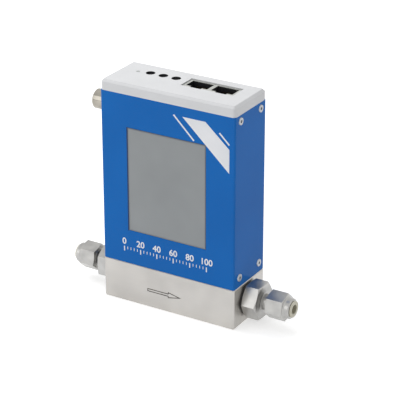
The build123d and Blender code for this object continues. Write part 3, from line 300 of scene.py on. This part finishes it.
def fit(piece, body, slot, *nodes):
    """Puts a piece on its body, in the place of these nodes. The slot is not used."""
    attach(piece, body)
    if nodes:
        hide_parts(*nodes)


def cover(material, *nodes):
    """Gives CAD nodes that keep their own mesh a finish."""
    for node in nodes:
        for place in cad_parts[node].material_slots:
            place.material = material


ground_steel = finish(
    "ground_steel", rgb(179, 176, 172), rgb(197, 194, 189), (0.3, 0.5), metallic=1.0,
    fineness=1800, direction=(0.04, 1, 1), patches=45, depth=0.004,
)
# Painted shade: the floor and walls of the arrow's groove take a darker steel that stands for the
# shade in the recess.
painted_groove_shade = finish(
    "painted_groove_shade", rgb(92, 88, 82), rgb(118, 113, 106), (0.5, 0.7), metallic=0.6,
    fineness=1800, patches=300, depth=0.01,
)
block_edge = 0.15 * mm
arrow_reach = 25 * mm
arrow_bottom = 3 * mm
arrow_top = 20 * mm
groove_start = 0.02 * mm
groove_end = 0.35 * mm
block = finer_copy("flow_block", "block", ground_steel, block_edge)
block_low, block_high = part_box("flow_block")
# The faces of the arrow's groove take the painted shade.
block.data.materials.append(painted_groove_shade)
for face in block.data.polygons:
    by_arrow = abs(face.center.x) < arrow_reach and arrow_bottom < face.center.z < arrow_top
    if by_arrow and groove_start < face.center.y - block_low.y < groove_end:
        face.material_index = 1
fit(block, "root", "block_steel", "flow_block")

# ---- Tube fittings ----
# At each end a stainless steel body, turned from hexagonal bar, screws into the block on a rubber
# ring. A nut with a round nose draws two ferrules onto the tube. Until a tube is fitted, a cream
# plastic plug fills the nut.
turned_steel = finish(
    "turned_steel", rgb(164, 163, 161), rgb(186, 185, 182), (0.24, 0.38), metallic=1.0,
    fineness=2600, direction=(1, 0.12, 0.12), patches=160, depth=0.0015,
)
plug_plastic = finish(
    "plug_plastic", rgb(214, 209, 188), rgb(226, 222, 205), (0.42, 0.55),
    fineness=500, patches=140, depth=0.002,
)
# Painted shade: a darker cream for the deep hollow in the plug's end, standing for the shade inside
# it.
plug_hollow_shade = finish(
    "plug_hollow_shade", rgb(186, 182, 160), rgb(200, 196, 176), (0.5, 0.65),
    fineness=500, patches=140, depth=0.001,
)
seal_rubber = finish(
    "seal_rubber", rgb(30, 30, 32), rgb(46, 46, 48), (0.55, 0.75),
    fineness=1500, patches=200, depth=0.01,
)
half_length = block_high.x
port_z = 12.0 * mm
ring_points = 96
turned_edge = 0.12 * mm
cone_fall = math.tan(math.radians(21))


def round_ring(distance, radius):
    """A round edge of a turned piece, this far out from the block's end."""
    return lambda angle: (distance * mm, radius * mm)


def hex_ring(distance, flats, cone_radius, toward):
    """The wavy edge where a hexagon's flats meet the cone that breaks its corners.

    The cone starts at cone_radius at this distance, and falls away toward +1, outwards, or -1, to
    the block.
    """
    def place(angle):
        off_corner = angle % (math.pi / 3) - math.pi / 6
        radius = flats / 2 / math.cos(off_corner)
        return (distance + toward * (radius - cone_radius) * cone_fall) * mm, radius * mm
    return place


def corner_angle(node):
    """Where round the port's axis a hexagonal node has a corner, seen from +X."""
    far = max(
        (vertex.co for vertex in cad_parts[node].data.vertices),
        key=lambda place: math.hypot(place.y, place.z - port_z),
    )
    return math.atan2(far.z - port_z, far.y)


def turned_piece(name, material, side, rings, first_angle=0.0, axis_z=port_z, closed=True):
    """A piece turned about a level line along X, from the edges in order round its section."""
    mesh = bmesh.new()
    loops = []
    for ring in rings:
        loop = []
        for number in range(ring_points):
            angle = 2 * math.pi * number / ring_points
            distance, radius = ring(angle)
            turn = first_angle + angle
            loop.append(mesh.verts.new((
                side * (half_length + distance),
                radius * math.cos(turn),
                axis_z + radius * math.sin(turn),
            )))
        loops.append(loop)
    pairs = list(zip(loops, loops[1:]))
    if closed:
        pairs.append((loops[-1], loops[0]))
    else:
        mesh.faces.new(loops[0])
        mesh.faces.new(loops[-1])
    for inner, outer in pairs:
        for number in range(ring_points):
            after = (number + 1) % ring_points
            mesh.faces.new((inner[number], inner[after], outer[after], outer[number]))
    bmesh.ops.recalc_face_normals(mesh, faces=mesh.faces)
    return rounded(new_piece(name, mesh, material), turned_edge, angle=20)


# Each ring of a section is a distance out from the block's end and a radius, both in mm.
gas_way = 2.4
tube_bore = 3.225
port_radius = 7.0
relief_radius = 4.1
stem_radius = 4.8
stem_bore = 4.85
body_flats = 17.5
body_chamfer = 8.55
nut_flats = 12.8
nut_back_chamfer = 6.25
nut_nose_chamfer = 6.0
plug_radius = 3.175
plug_rim = 4.2
plug_bore = 2.475
body_rings = [
    round_ring(-9.0, gas_way),
    round_ring(-9.0, 6.6),
    round_ring(-8.6, port_radius),
    round_ring(0.8, port_radius),
    round_ring(0.8, body_chamfer),
    hex_ring(0.8, body_flats, body_chamfer, 1),
    hex_ring(8.8, body_flats, body_chamfer, -1),
    round_ring(8.8, body_chamfer),
    round_ring(8.8, 4.5),
    round_ring(9.1, relief_radius),
    round_ring(12.8, relief_radius),
    round_ring(12.8, stem_radius),
    round_ring(19.0, stem_radius),
    round_ring(19.0, 4.325),
    round_ring(17.4, tube_bore),
    round_ring(14.0, tube_bore),
    round_ring(14.0, gas_way),
]
nut_rings = [
    round_ring(12.5, stem_bore),
    round_ring(12.5, nut_back_chamfer),
    hex_ring(12.5, nut_flats, nut_back_chamfer, 1),
    hex_ring(21.9, nut_flats, nut_nose_chamfer, -1),
    round_ring(21.9, nut_nose_chamfer),
    round_ring(21.9, 5.8),
    round_ring(22.6, 5.35),
    round_ring(24.5, 5.2),
    round_ring(25.0, 4.7),
    round_ring(25.0, tube_bore),
    round_ring(21.6, tube_bore),
    round_ring(19.975, stem_bore),
]
plug_rings = [
    round_ring(14.1, plug_radius),
    round_ring(25.1, plug_radius),
    round_ring(25.1, plug_rim),
    round_ring(25.8, plug_rim),
    round_ring(25.8, plug_bore),
    round_ring(16.1, plug_bore),
]
shaded_hollow_reach = 2.5 * mm
for end, side in (("inlet", -1), ("outlet", 1)):
    fitting = turned_piece(
        f"{end}_body", turned_steel, side, body_rings,
        first_angle=corner_angle(f"{end}_fitting"),
    )
    fit(fitting, "root", "fitting_steel", f"{end}_fitting")
    nut = turned_piece(
        f"{end}_coupling_nut", turned_steel, side, nut_rings,
        first_angle=corner_angle(f"{end}_nut"),
    )
    fit(nut, f"{end}_nut_body", "fitting_steel", f"{end}_nut")
    plug = turned_piece(f"{end}_plug", plug_plastic, side, plug_rings, closed=False)
    # Faces of the plug's hollow take the painted shade.
    plug.data.materials.append(plug_hollow_shade)
    for face in plug.data.polygons:
        if math.hypot(face.center.y, face.center.z - port_z) < shaded_hollow_reach:
            face.material_index = 1
    fit(plug, "root", "plug_cream", f"{end}_dust_plug")
cover(turned_steel, "front_ferrules", "back_ferrules")
cover(seal_rubber, "port_seals", "sensor_seals", "valve_seal", "power_connector_seal")

# ---- Flow path ----
# Inside the block the gas passes a sintered filter and a bundle of straight channels. A thin steel
# tube in the sensor's base carries a small share of it past two fine windings, which a flat amber
# strip joins to the board.
inner_steel = finish(
    "inner_steel", rgb(176, 174, 170), rgb(205, 203, 199), (0.3, 0.45), metallic=1.0,
    fineness=1500, patches=120, depth=0.004,
)
enamelled_copper = finish(
    "enamelled_copper", rgb(150, 74, 34), rgb(196, 108, 58), (0.25, 0.4), metallic=1.0,
    fineness=4000, direction=(1, 0.1, 0.1), patches=300, depth=0.02,
)
amber_film = finish(
    "amber_film", rgb(176, 96, 22), rgb(206, 128, 40), (0.2, 0.32),
    fineness=900, patches=200, depth=0.003,
)
cover(inner_steel, "sensor_base", "sensor_tube", "flow_element", "inlet_filter")
cover(enamelled_copper, "sensor_windings", "valve_winding", "valve_leads")
cover(amber_film, "sensor_flex")

# ---- Control valve ----
# A plunger on a spring in a thin steel tube closes a raised seat. A copper coil on a black bobbin,
# in a steel can held down by a nut, lifts it.
moulded_black = finish(
    "moulded_black", rgb(26, 26, 29), rgb(40, 40, 44), (0.38, 0.55),
    fineness=1600, patches=150, depth=0.008,
)
cover(inner_steel, "valve_seat", "valve_plunger", "valve_tube", "valve_can", "valve_nut")
cover(moulded_black, "valve_bobbin", "control_chips", "board_link")


def link_all(tree, pairs):
    """Links each output to its input."""
    for source, target in pairs:
        tree.links.new(source, target)


def with_inputs(tree, sizes):
    """Gives a tree a number input for each of these names, a material input and a mesh output."""
    for name in sizes:
        tree.interface.new_socket(name, in_out="INPUT", socket_type="NodeSocketFloat")
    tree.interface.new_socket("Finish", in_out="INPUT", socket_type="NodeSocketMaterial")
    tree.interface.new_socket("Geometry", in_out="OUTPUT", socket_type="NodeSocketGeometry")
    return add_node(tree, "NodeGroupInput"), add_node(tree, "NodeGroupOutput")


def point_of(tree, x=None, y=None, z=None):
    """A vector from number outputs, with 0 where none is given."""
    point = add_node(tree, "ShaderNodeCombineXYZ")
    for source, target in zip((x, y, z), point.inputs):
        if source is not None:
            join(tree, source, target)
    return point.outputs[0]


def moved(tree, source, place, turn=(0.0, 0.0, 0.0)):
    """A geometry moved to a place and turned."""
    step = add_node(tree, "GeometryNodeTransform")
    step.inputs["Rotation"].default_value = turn
    join(tree, source, step.inputs["Geometry"])
    join(tree, place, step.inputs["Translation"])
    return step.outputs[0]


def give_out(tree, source, material, end):
    """Makes the copies real, gives them their finish and hands them out."""
    real = add_node(tree, "GeometryNodeRealizeInstances")
    painted = add_node(tree, "GeometryNodeSetMaterial")
    link_all(tree, (
        (source, real.inputs[0]),
        (real.outputs[0], painted.inputs[0]),
        (material, painted.inputs["Material"]),
        (painted.outputs[0], end.inputs[0]),
    ))


def grown(tree, name, material, sizes):
    """What a tree makes with these sizes, as one plain mesh, smooth between its sharp edges."""
    piece = bpy.data.objects.new(name, bpy.data.meshes.new(name))
    scene.collection.objects.link(piece)
    step = piece.modifiers.new("pattern", "NODES")
    step.node_group = tree
    for socket in tree.interface.items_tree:
        if socket.in_out == "INPUT":
            step[socket.identifier] = material if socket.name == "Finish" else sizes[socket.name]
    made = plain_mesh(piece)
    piece.modifiers.clear()
    piece.data = made
    made.name = name
    made.shade_smooth()
    made.set_sharp_from_angle(angle=math.radians(40))
    return piece


def wound_wire():
    """A spring of round wire, closed at its ends, wound upwards round its own middle line."""
    tree = bpy.data.node_groups.new("wound_wire", "GeometryNodeTree")
    start, end = with_inputs(tree, (
        "Turns", "Coil Radius", "Rise", "Wire Radius", "Across", "Deep", "Foot",
    ))
    size = start.outputs
    line = add_node(tree, "GeometryNodeCurveSpiral")
    line.inputs["Resolution"].default_value = 28
    wire = add_node(tree, "GeometryNodeCurvePrimitiveCircle")
    wire.inputs["Resolution"].default_value = 12
    swept = add_node(tree, "GeometryNodeCurveToMesh")
    swept.inputs["Fill Caps"].default_value = True
    foot = point_of(tree, size["Across"], size["Deep"], size["Foot"])
    link_all(tree, (
        (size["Turns"], line.inputs["Rotations"]),
        (size["Coil Radius"], line.inputs["Start Radius"]),
        (size["Coil Radius"], line.inputs["End Radius"]),
        (size["Rise"], line.inputs["Height"]),
        (size["Wire Radius"], wire.inputs["Radius"]),
        (moved(tree, line.outputs[0], foot), swept.inputs["Curve"]),
        (wire.outputs[0], swept.inputs["Profile Curve"]),
    ))
    give_out(tree, swept.outputs[0], size["Finish"], end)
    return tree


spring_low, spring_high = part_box("valve_spring")
wire_radius = 0.22 * mm
spring_turns = 4.0
spring_middle = (spring_low + spring_high) / 2
spring = grown(wound_wire(), "return_spring", inner_steel, {
    "Turns": spring_turns,
    "Coil Radius": (spring_high.y - spring_low.y) / 2 - wire_radius,
    "Rise": spring_high.z - spring_low.z - 2 * wire_radius,
    "Wire Radius": wire_radius,
    "Across": spring_middle.x,
    "Deep": spring_middle.y,
    "Foot": spring_low.z + wire_radius,
})
fit(spring, "root", "inner_steel", "valve_spring")
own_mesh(spring)

# ---- Chassis and boards ----
# A folded sheet of bare aluminium stands on the block and carries the upright control board and, on
# standoffs, the display's board. The interface board hangs level from posts in the cap.
bare_aluminium = finish(
    "bare_aluminium", rgb(168, 170, 172), rgb(198, 200, 202), (0.32, 0.5), metallic=1.0,
    fineness=700, patches=220, depth=0.006,
)
screw_steel = finish(
    "screw_steel", rgb(158, 161, 166), rgb(184, 187, 191), (0.3, 0.44), metallic=1.0,
    fineness=3000, patches=300, depth=0.002,
)
board_green = finish(
    "board_green", rgb(14, 78, 42), rgb(28, 104, 58), (0.24, 0.36),
    fineness=1400, direction=(0.15, 1, 1), patches=260, depth=0.012,
)
cover(bare_aluminium, "chassis", "sensor_cover")
cover(screw_steel, "block_screws", "board_screws", "display_standoffs")
cover(board_green, "display_board", "control_board", "interface_board")

# ---- Housing ----
# One rectangular tube of aluminium, 1.5 mm thick and open at both ends, with a bevelled window in
# its front. It is sprayed with a satin blue paint, which leaves a fine orange peel.
blue_paint = finish(
    "blue_paint", rgb(2, 105, 190), rgb(4, 111, 198), (0.3, 0.38),
    fineness=900, patches=26, depth=0.004,
)
paint_shader = blue_paint.node_tree.nodes["Principled BSDF"]
paint_shader.inputs["Specular IOR Level"].default_value = 0.0
paint_shader.inputs["Coat Weight"].default_value = 0.3
paint_shader.inputs["Coat Roughness"].default_value = 0.1
# Painted shade: a dark navy on the sides and top of the window's bevel, standing for their shade;
# the faces that look up keep the blue paint.
window_bevel_shade = finish(
    "window_bevel_shade", rgb(2, 52, 104), rgb(4, 62, 120), (0.4, 0.5),
    fineness=900, patches=26, depth=0.004,
)
case_edge = 0.2 * mm
front_y = block_low.y
bevel_start = 0.03 * mm
bevel_end = 1.45 * mm
upward_facing = 0.3
case = finer_copy("housing", "case", blue_paint, case_edge)
window_low, window_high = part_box("display_window")
# Bevel faces that don't look up take the painted shade.
case.data.materials.append(window_bevel_shade)
for face in case.data.polygons:
    spot = face.center
    by_window = window_low.x < spot.x < window_high.x and window_low.z < spot.z < window_high.z
    in_bevel = bevel_start < spot.y - front_y < bevel_end
    if by_window and in_bevel and face.normal.z < upward_facing:
        face.material_index = 1
fit(case, "root", "blue_paint", "housing")

# ---- Display ----
# A grey coated window sits in the bevel, flush with its bottom, in front of a foam gasket and the
# display panel. The panel is off, so the window is an even grey, and a darker line round its field
# shows the panel's edge together with painted shade from the bevel.
window_flange = 2.0 * mm
# Where the darker line round the window's field lies, how dark it is, and its grey: the panel's
# edge with painted shade from the bevel.
line_start = 0.9 * mm
line_full = 0.3 * mm
edge_and_shade_share = 0.45
edge_and_shade_grey = rgb(88, 92, 98)


def ramp(tree, source, low, high, from_value, to_value):
    """A smooth change from one value to another while the source goes from low to high."""
    step = add_node(tree, "ShaderNodeMapRange", interpolation_type="SMOOTHSTEP")
    step.inputs["From Min"].default_value = low
    step.inputs["From Max"].default_value = high
    step.inputs["To Min"].default_value = from_value
    step.inputs["To Max"].default_value = to_value
    join(tree, source, step.inputs["Value"])
    return step.outputs[0]


def window_coating():
    """Grey coated acrylic, with a fine darker line round its field, where the lit area ends; the
    line is also painted shade from the bevel.
    """
    material = finish(
        "window_coating", rgb(146, 150, 152), rgb(154, 158, 160), (0.3, 0.42),
        fineness=300, patches=40, depth=0.001,
    )
    tree = material.node_tree
    shader = tree.nodes["Principled BSDF"]
    place = add_node(tree, "ShaderNodeTexCoord")
    split = add_node(tree, "ShaderNodeSeparateXYZ")
    join(tree, place.outputs["Object"], split.inputs[0])
    outside = []
    for axis, middle, reach in (
        ("X", (window_low.x + window_high.x) / 2, (window_high.x - window_low.x) / 2),
        ("Z", (window_low.z + window_high.z) / 2, (window_high.z - window_low.z) / 2),
    ):
        offset = add_node(tree, "ShaderNodeMath", operation="SUBTRACT")
        join(tree, split.outputs[axis], offset.inputs[0])
        offset.inputs[1].default_value = middle
        away = add_node(tree, "ShaderNodeMath", operation="ABSOLUTE")
        join(tree, offset.outputs[0], away.inputs[0])
        past = add_node(tree, "ShaderNodeMath", operation="SUBTRACT")
        join(tree, away.outputs[0], past.inputs[0])
        past.inputs[1].default_value = reach - window_flange
        outside.append(past)
    edge = add_node(tree, "ShaderNodeMath", operation="MAXIMUM")
    join(tree, outside[0].outputs[0], edge.inputs[0])
    join(tree, outside[1].outputs[0], edge.inputs[1])
    # The darker line stands for the panel's edge and is also painted shade from the bevel.
    share = ramp(tree, edge.outputs[0], -line_start, -line_full, 0.0, edge_and_shade_share)
    tint = add_node(tree, "ShaderNodeMix", data_type="RGBA")
    tone = shader.inputs["Base Color"].links[0].from_socket
    join(tree, share, tint.inputs[0])
    join(tree, tone, tint.inputs[6])
    tint.inputs[7].default_value = edge_and_shade_grey
    join(tree, tint.outputs[2], shader.inputs["Base Color"])
    return material


panel_grey = finish(
    "panel_grey", rgb(96, 100, 102), rgb(112, 116, 118), (0.2, 0.3), fineness=800, depth=0.002,
)
gasket_foam = finish(
    "gasket_foam", rgb(34, 34, 36), rgb(56, 56, 58), (0.8, 0.95), fineness=2200, depth=0.06,
)
cover(window_coating(), "display_window")
cover(panel_grey, "display_panel")
cover(gasket_foam, "display_gasket")

# ---- Print ----
# White ink, screen printed on the blue paint: a slanted band with a thin line on each side near the
# top right corner, and a plain scale of figures and ticks under the window.
white_ink = finish(
    "white_ink", rgb(240, 242, 247), rgb(250, 251, 254), (0.45, 0.6), fineness=2400, depth=0.004,
)
cover(white_ink, "accent_stripe")
print_thickness = 0.1 * mm
scale_left = -25.6 * mm
scale_length = 48.0 * mm
scale_end = 100
scale_steps = 5
minor_steps = 5
figure_height = 3.3 * mm
figure_share_of_size = 0.7
stroke_growth = 0.03 * figure_height
figures_z = 32.3 * mm
ticks_top = 31.0 * mm
tick_half_width = 0.3 * mm
tick_length = 2.6 * mm
minor_half_width = 0.17 * mm
minor_length = 1.5 * mm


def print_figures(mesh, text, centre_x):
    """Adds a number in white ink, standing on the figures' line."""
    letters = bpy.data.curves.new("figures", "FONT")
    letters.body = text
    letters.align_x = "CENTER"
    letters.size = figure_height / figure_share_of_size
    letters.offset = stroke_growth
    letters.extrude = print_thickness / 2
    holder = bpy.data.objects.new("figures", letters)
    scene.collection.objects.link(holder)
    data = plain_mesh(holder)
    bpy.data.objects.remove(holder)
    for vertex in data.vertices:
        across, up, out = vertex.co
        vertex.co = (centre_x + across, front_y - print_thickness / 2 - out, figures_z + up)
    mesh.from_mesh(data)


def print_tick(mesh, centre_x, half_width, length):
    """Adds a plain printed bar that hangs from the line of the ticks."""
    left, right, bottom = centre_x - half_width, centre_x + half_width, ticks_top - length
    corners = [
        mesh.verts.new((x, y, z))
        for y in (front_y - print_thickness, front_y)
        for x, z in ((left, bottom), (right, bottom), (right, ticks_top), (left, ticks_top))
    ]
    mesh.faces.new(corners[:4])
    mesh.faces.new(corners[4:])
    for number in range(4):
        after = (number + 1) % 4
        mesh.faces.new((corners[number], corners[after], corners[after + 4], corners[number + 4]))


scale_print = bmesh.new()
for step in range(scale_steps + 1):
    x = scale_left + scale_length * step / scale_steps
    print_figures(scale_print, str(step * scale_end // scale_steps), x)
    print_tick(scale_print, x, tick_half_width, tick_length)
    if step < scale_steps:
        for part in range(1, minor_steps):
            minor_x = x + scale_length * part / scale_steps / minor_steps
            print_tick(scale_print, minor_x, minor_half_width, minor_length)
bmesh.ops.remove_doubles(scale_print, verts=scale_print.verts, dist=0.001 * mm)
bmesh.ops.recalc_face_normals(scale_print, faces=scale_print.faces)
scale_figures = new_piece("scale_figures", scale_print, white_ink)
fit(scale_figures, "root", "white_print")

# ---- Case screws ----
# Four flat-headed stainless screws with hexagonal sockets in each end wall hold the case to the
# cap's lugs and to the chassis. They are one pattern: a screw at each corner of a rectangle, and
# the same again at the other end.


def scaled(tree, source, factor, start=0.0):
    """A number times a factor, from a start."""
    total = add_node(tree, "ShaderNodeMath", operation="MULTIPLY_ADD")
    join(tree, source, total.inputs[0])
    total.inputs[1].default_value = factor
    total.inputs[2].default_value = start
    return total.outputs[0]


def merged(tree, *sources):
    """Several geometries as one."""
    step = add_node(tree, "GeometryNodeJoinGeometry")
    for source in reversed(sources):
        join(tree, source, step.inputs[0])
    return step.outputs[0]


shank_overlap = 0.1 * mm


def screw_pattern():
    """Screws in the end walls: a head with a chamfered rim and a hexagonal hole, and a shank."""
    tree = bpy.data.node_groups.new("screw_pattern", "GeometryNodeTree")
    start, end = with_inputs(tree, (
        "Wall Face", "Middle Height", "Height Spacing", "Depth Spacing", "Head Radius",
        "Head Height", "Rim Radius", "Key Radius", "Key Depth", "Shank Radius", "Shank Length",
    ))
    size = start.outputs
    head = add_node(tree, "GeometryNodeMeshCone")
    head.inputs["Vertices"].default_value = 28
    key = add_node(tree, "GeometryNodeMeshCylinder")
    key.inputs["Vertices"].default_value = 6
    shank = add_node(tree, "GeometryNodeMeshCylinder")
    shank.inputs["Vertices"].default_value = 20
    link_all(tree, (
        (size["Rim Radius"], head.inputs["Radius Top"]),
        (size["Head Radius"], head.inputs["Radius Bottom"]),
        (size["Head Height"], head.inputs["Depth"]),
        (size["Key Radius"], key.inputs["Radius"]),
        (scaled(tree, size["Key Depth"], 2.0), key.inputs["Depth"]),
        (size["Shank Radius"], shank.inputs["Radius"]),
        (size["Shank Length"], shank.inputs["Depth"]),
    ))
    shank_drop = point_of(tree, z=scaled(tree, size["Shank Length"], -0.5, start=shank_overlap))
    blank = add_node(tree, "GeometryNodeMeshBoolean", operation="UNION", solver="EXACT")
    join(tree, head.outputs["Mesh"], blank.inputs["Mesh 2"])
    join(tree, moved(tree, shank.outputs["Mesh"], shank_drop), blank.inputs["Mesh 2"])
    key_rise = point_of(tree, z=size["Head Height"])
    socket = add_node(tree, "GeometryNodeMeshBoolean", operation="DIFFERENCE", solver="EXACT")
    join(tree, blank.outputs["Mesh"], socket.inputs["Mesh 1"])
    join(tree, moved(tree, key.outputs["Mesh"], key_rise), socket.inputs["Mesh 2"])
    corners = add_node(tree, "GeometryNodeMeshGrid")
    corners.inputs["Vertices X"].default_value = 2
    corners.inputs["Vertices Y"].default_value = 2
    copies = add_node(tree, "GeometryNodeInstanceOnPoints")
    link_all(tree, (
        (size["Height Spacing"], corners.inputs["Size X"]),
        (size["Depth Spacing"], corners.inputs["Size Y"]),
        (corners.outputs["Mesh"], copies.inputs["Points"]),
        (socket.outputs["Mesh"], copies.inputs["Instance"]),
    ))
    right_end = point_of(tree, x=size["Wall Face"], z=size["Middle Height"])
    left_end = point_of(tree, x=scaled(tree, size["Wall Face"], -1.0), z=size["Middle Height"])
    both = merged(
        tree,
        moved(tree, copies.outputs[0], right_end, (0.0, math.pi / 2, 0.0)),
        moved(tree, copies.outputs[0], left_end, (0.0, -math.pi / 2, 0.0)),
    )
    give_out(tree, both, size["Finish"], end)
    return tree


screws_low, screws_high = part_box("case_screws")
head_radius = 2.0 * mm
head_height = 0.4 * mm
rim_chamfer = 0.15 * mm
screws = grown(screw_pattern(), "end_screws", screw_steel, {
    "Wall Face": screws_high.x - head_height,
    "Middle Height": (screws_low.z + screws_high.z) / 2,
    "Height Spacing": screws_high.z - screws_low.z - 2 * head_radius,
    "Depth Spacing": screws_high.y - screws_low.y - 2 * head_radius,
    "Head Radius": head_radius,
    "Head Height": head_height,
    "Rim Radius": head_radius - rim_chamfer,
    "Key Radius": 0.87 * mm,
    "Key Depth": 0.6 * mm,
    "Shank Radius": 1.25 * mm,
    "Shank Length": 5.0 * mm,
})
fit(screws, "root", "screw_steel", "case_screws")

# ---- Power connector ----
# A round nickel-plated barrel stands out of the left wall on a rubber ring, with four gold-plated
# pins in a black insert, and a nut inside the wall.
nickel_plate = finish(
    "nickel_plate", rgb(146, 142, 133), rgb(176, 171, 161), (0.1, 0.2), metallic=1.0,
    fineness=2500, direction=(1, 0.1, 0.1), patches=200, depth=0.001,
)
gold_plate = finish(
    "gold_plate", rgb(206, 160, 70), rgb(232, 190, 98), (0.18, 0.3), metallic=1.0,
    fineness=2500, depth=0.001,
)
shell_low, shell_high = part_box("power_connector_shell")
connector_z = (shell_low.z + shell_high.z) / 2
neck_bore = 3.0
neck_radius = 4.0
mouth_bore = 4.0
barrel_radius = 5.1
barrel_rings = [
    round_ring(-4.5, neck_bore),
    round_ring(-4.5, neck_radius),
    round_ring(0.8, neck_radius),
    round_ring(0.8, barrel_radius),
    round_ring(11.7, barrel_radius),
    round_ring(12.3, 4.5),
    round_ring(12.3, mouth_bore),
    round_ring(3.3, mouth_bore),
    round_ring(3.3, neck_bore),
]
barrel = turned_piece("connector_barrel", nickel_plate, -1, barrel_rings, axis_z=connector_z)
fit(barrel, "root", "connector_nickel", "power_connector_shell")
cover(nickel_plate, "power_connector_nut")
cover(moulded_black, "power_connector_insert")
cover(gold_plate, "power_connector_pins", "network_jack_contacts")

# ---- Cap ----
# The lid is moulded in very light grey plastic with a fine matt grain. Its top edge is bevelled,
# and it has openings for the network jack, the address switches and the lamp.
cap_plastic = finish(
    "cap_plastic", rgb(224, 225, 227), rgb(230, 231, 233), (0.4, 0.52),
    fineness=2600, patches=60, depth=0.012,
)
lid_edge = 0.2 * mm
lid = finer_copy("top_cap", "lid", cap_plastic, lid_edge)
fit(lid, "root", "cap_grey", "top_cap")

# ---- Network jack ----
# Two sockets in one black moulded body, inside a folded shield of tinned steel that shows round the
# openings. Eight gold-plated springs slope down the back of each socket.
tin_plate = finish(
    "tin_plate", rgb(186, 188, 184), rgb(212, 213, 208), (0.28, 0.42), metallic=1.0,
    fineness=1200, patches=300, depth=0.003,
)
cover(tin_plate, "network_jack_shield")
cover(moulded_black, "network_jack")

# ---- Address switches and lamp ----
# Three rotary switches set the address. Each black rotor has a screwdriver slot with an arrow end
# and shows in a round hole in the cap. A thin black sleeve lines each hole: a dark sheet that
# stands for the shade inside it. The lamp beside them is the end of a clear light pipe.
lamp_clear = finish(
    "lamp_clear", rgb(176, 182, 178), rgb(196, 202, 198), (0.08, 0.16), fineness=900, depth=0.001,
)
cover(moulded_black, "address_switches", "address_rotor_1", "address_rotor_2", "address_rotor_3")
cover(lamp_clear, "status_lamp")
# Painted shade: a thin black sleeve inside each switch hole in the cap, darkening its wall as shade
# would.
shade_sleeve_points = 48
shade_sleeve_inside = 2.27 * mm
shade_sleeve_outside = 2.39 * mm
shade_sleeve_height = 1.0 * mm
shade_sleeve_sink = 0.05 * mm
cap_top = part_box("top_cap")[1].z
shade_sleeves = bmesh.new()
for number in (1, 2, 3):
    low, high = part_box(f"address_rotor_{number}")
    centre = (low + high) / 2
    loops = []
    for radius, z in (
        (shade_sleeve_inside, cap_top - shade_sleeve_height), (shade_sleeve_outside, cap_top - shade_sleeve_height),
        (shade_sleeve_outside, cap_top), (shade_sleeve_inside, cap_top),
    ):
        loops.append([
            shade_sleeves.verts.new((
                centre.x + radius * math.cos(2 * math.pi * step / shade_sleeve_points),
                centre.y + radius * math.sin(2 * math.pi * step / shade_sleeve_points),
                z - shade_sleeve_sink,
            ))
            for step in range(shade_sleeve_points)
        ])
    for ring, after in zip(loops, loops[1:] + loops[:1]):
        for step in range(shade_sleeve_points):
            follow = (step + 1) % shade_sleeve_points
            shade_sleeves.faces.new((ring[step], ring[follow], after[follow], after[step]))
bmesh.ops.recalc_face_normals(shade_sleeves, faces=shade_sleeves.faces)
switch_shade_sleeves = new_piece("switch_shade_sleeves", shade_sleeves, moulded_black)
fit(switch_shade_sleeves, "root", "black_plastic")
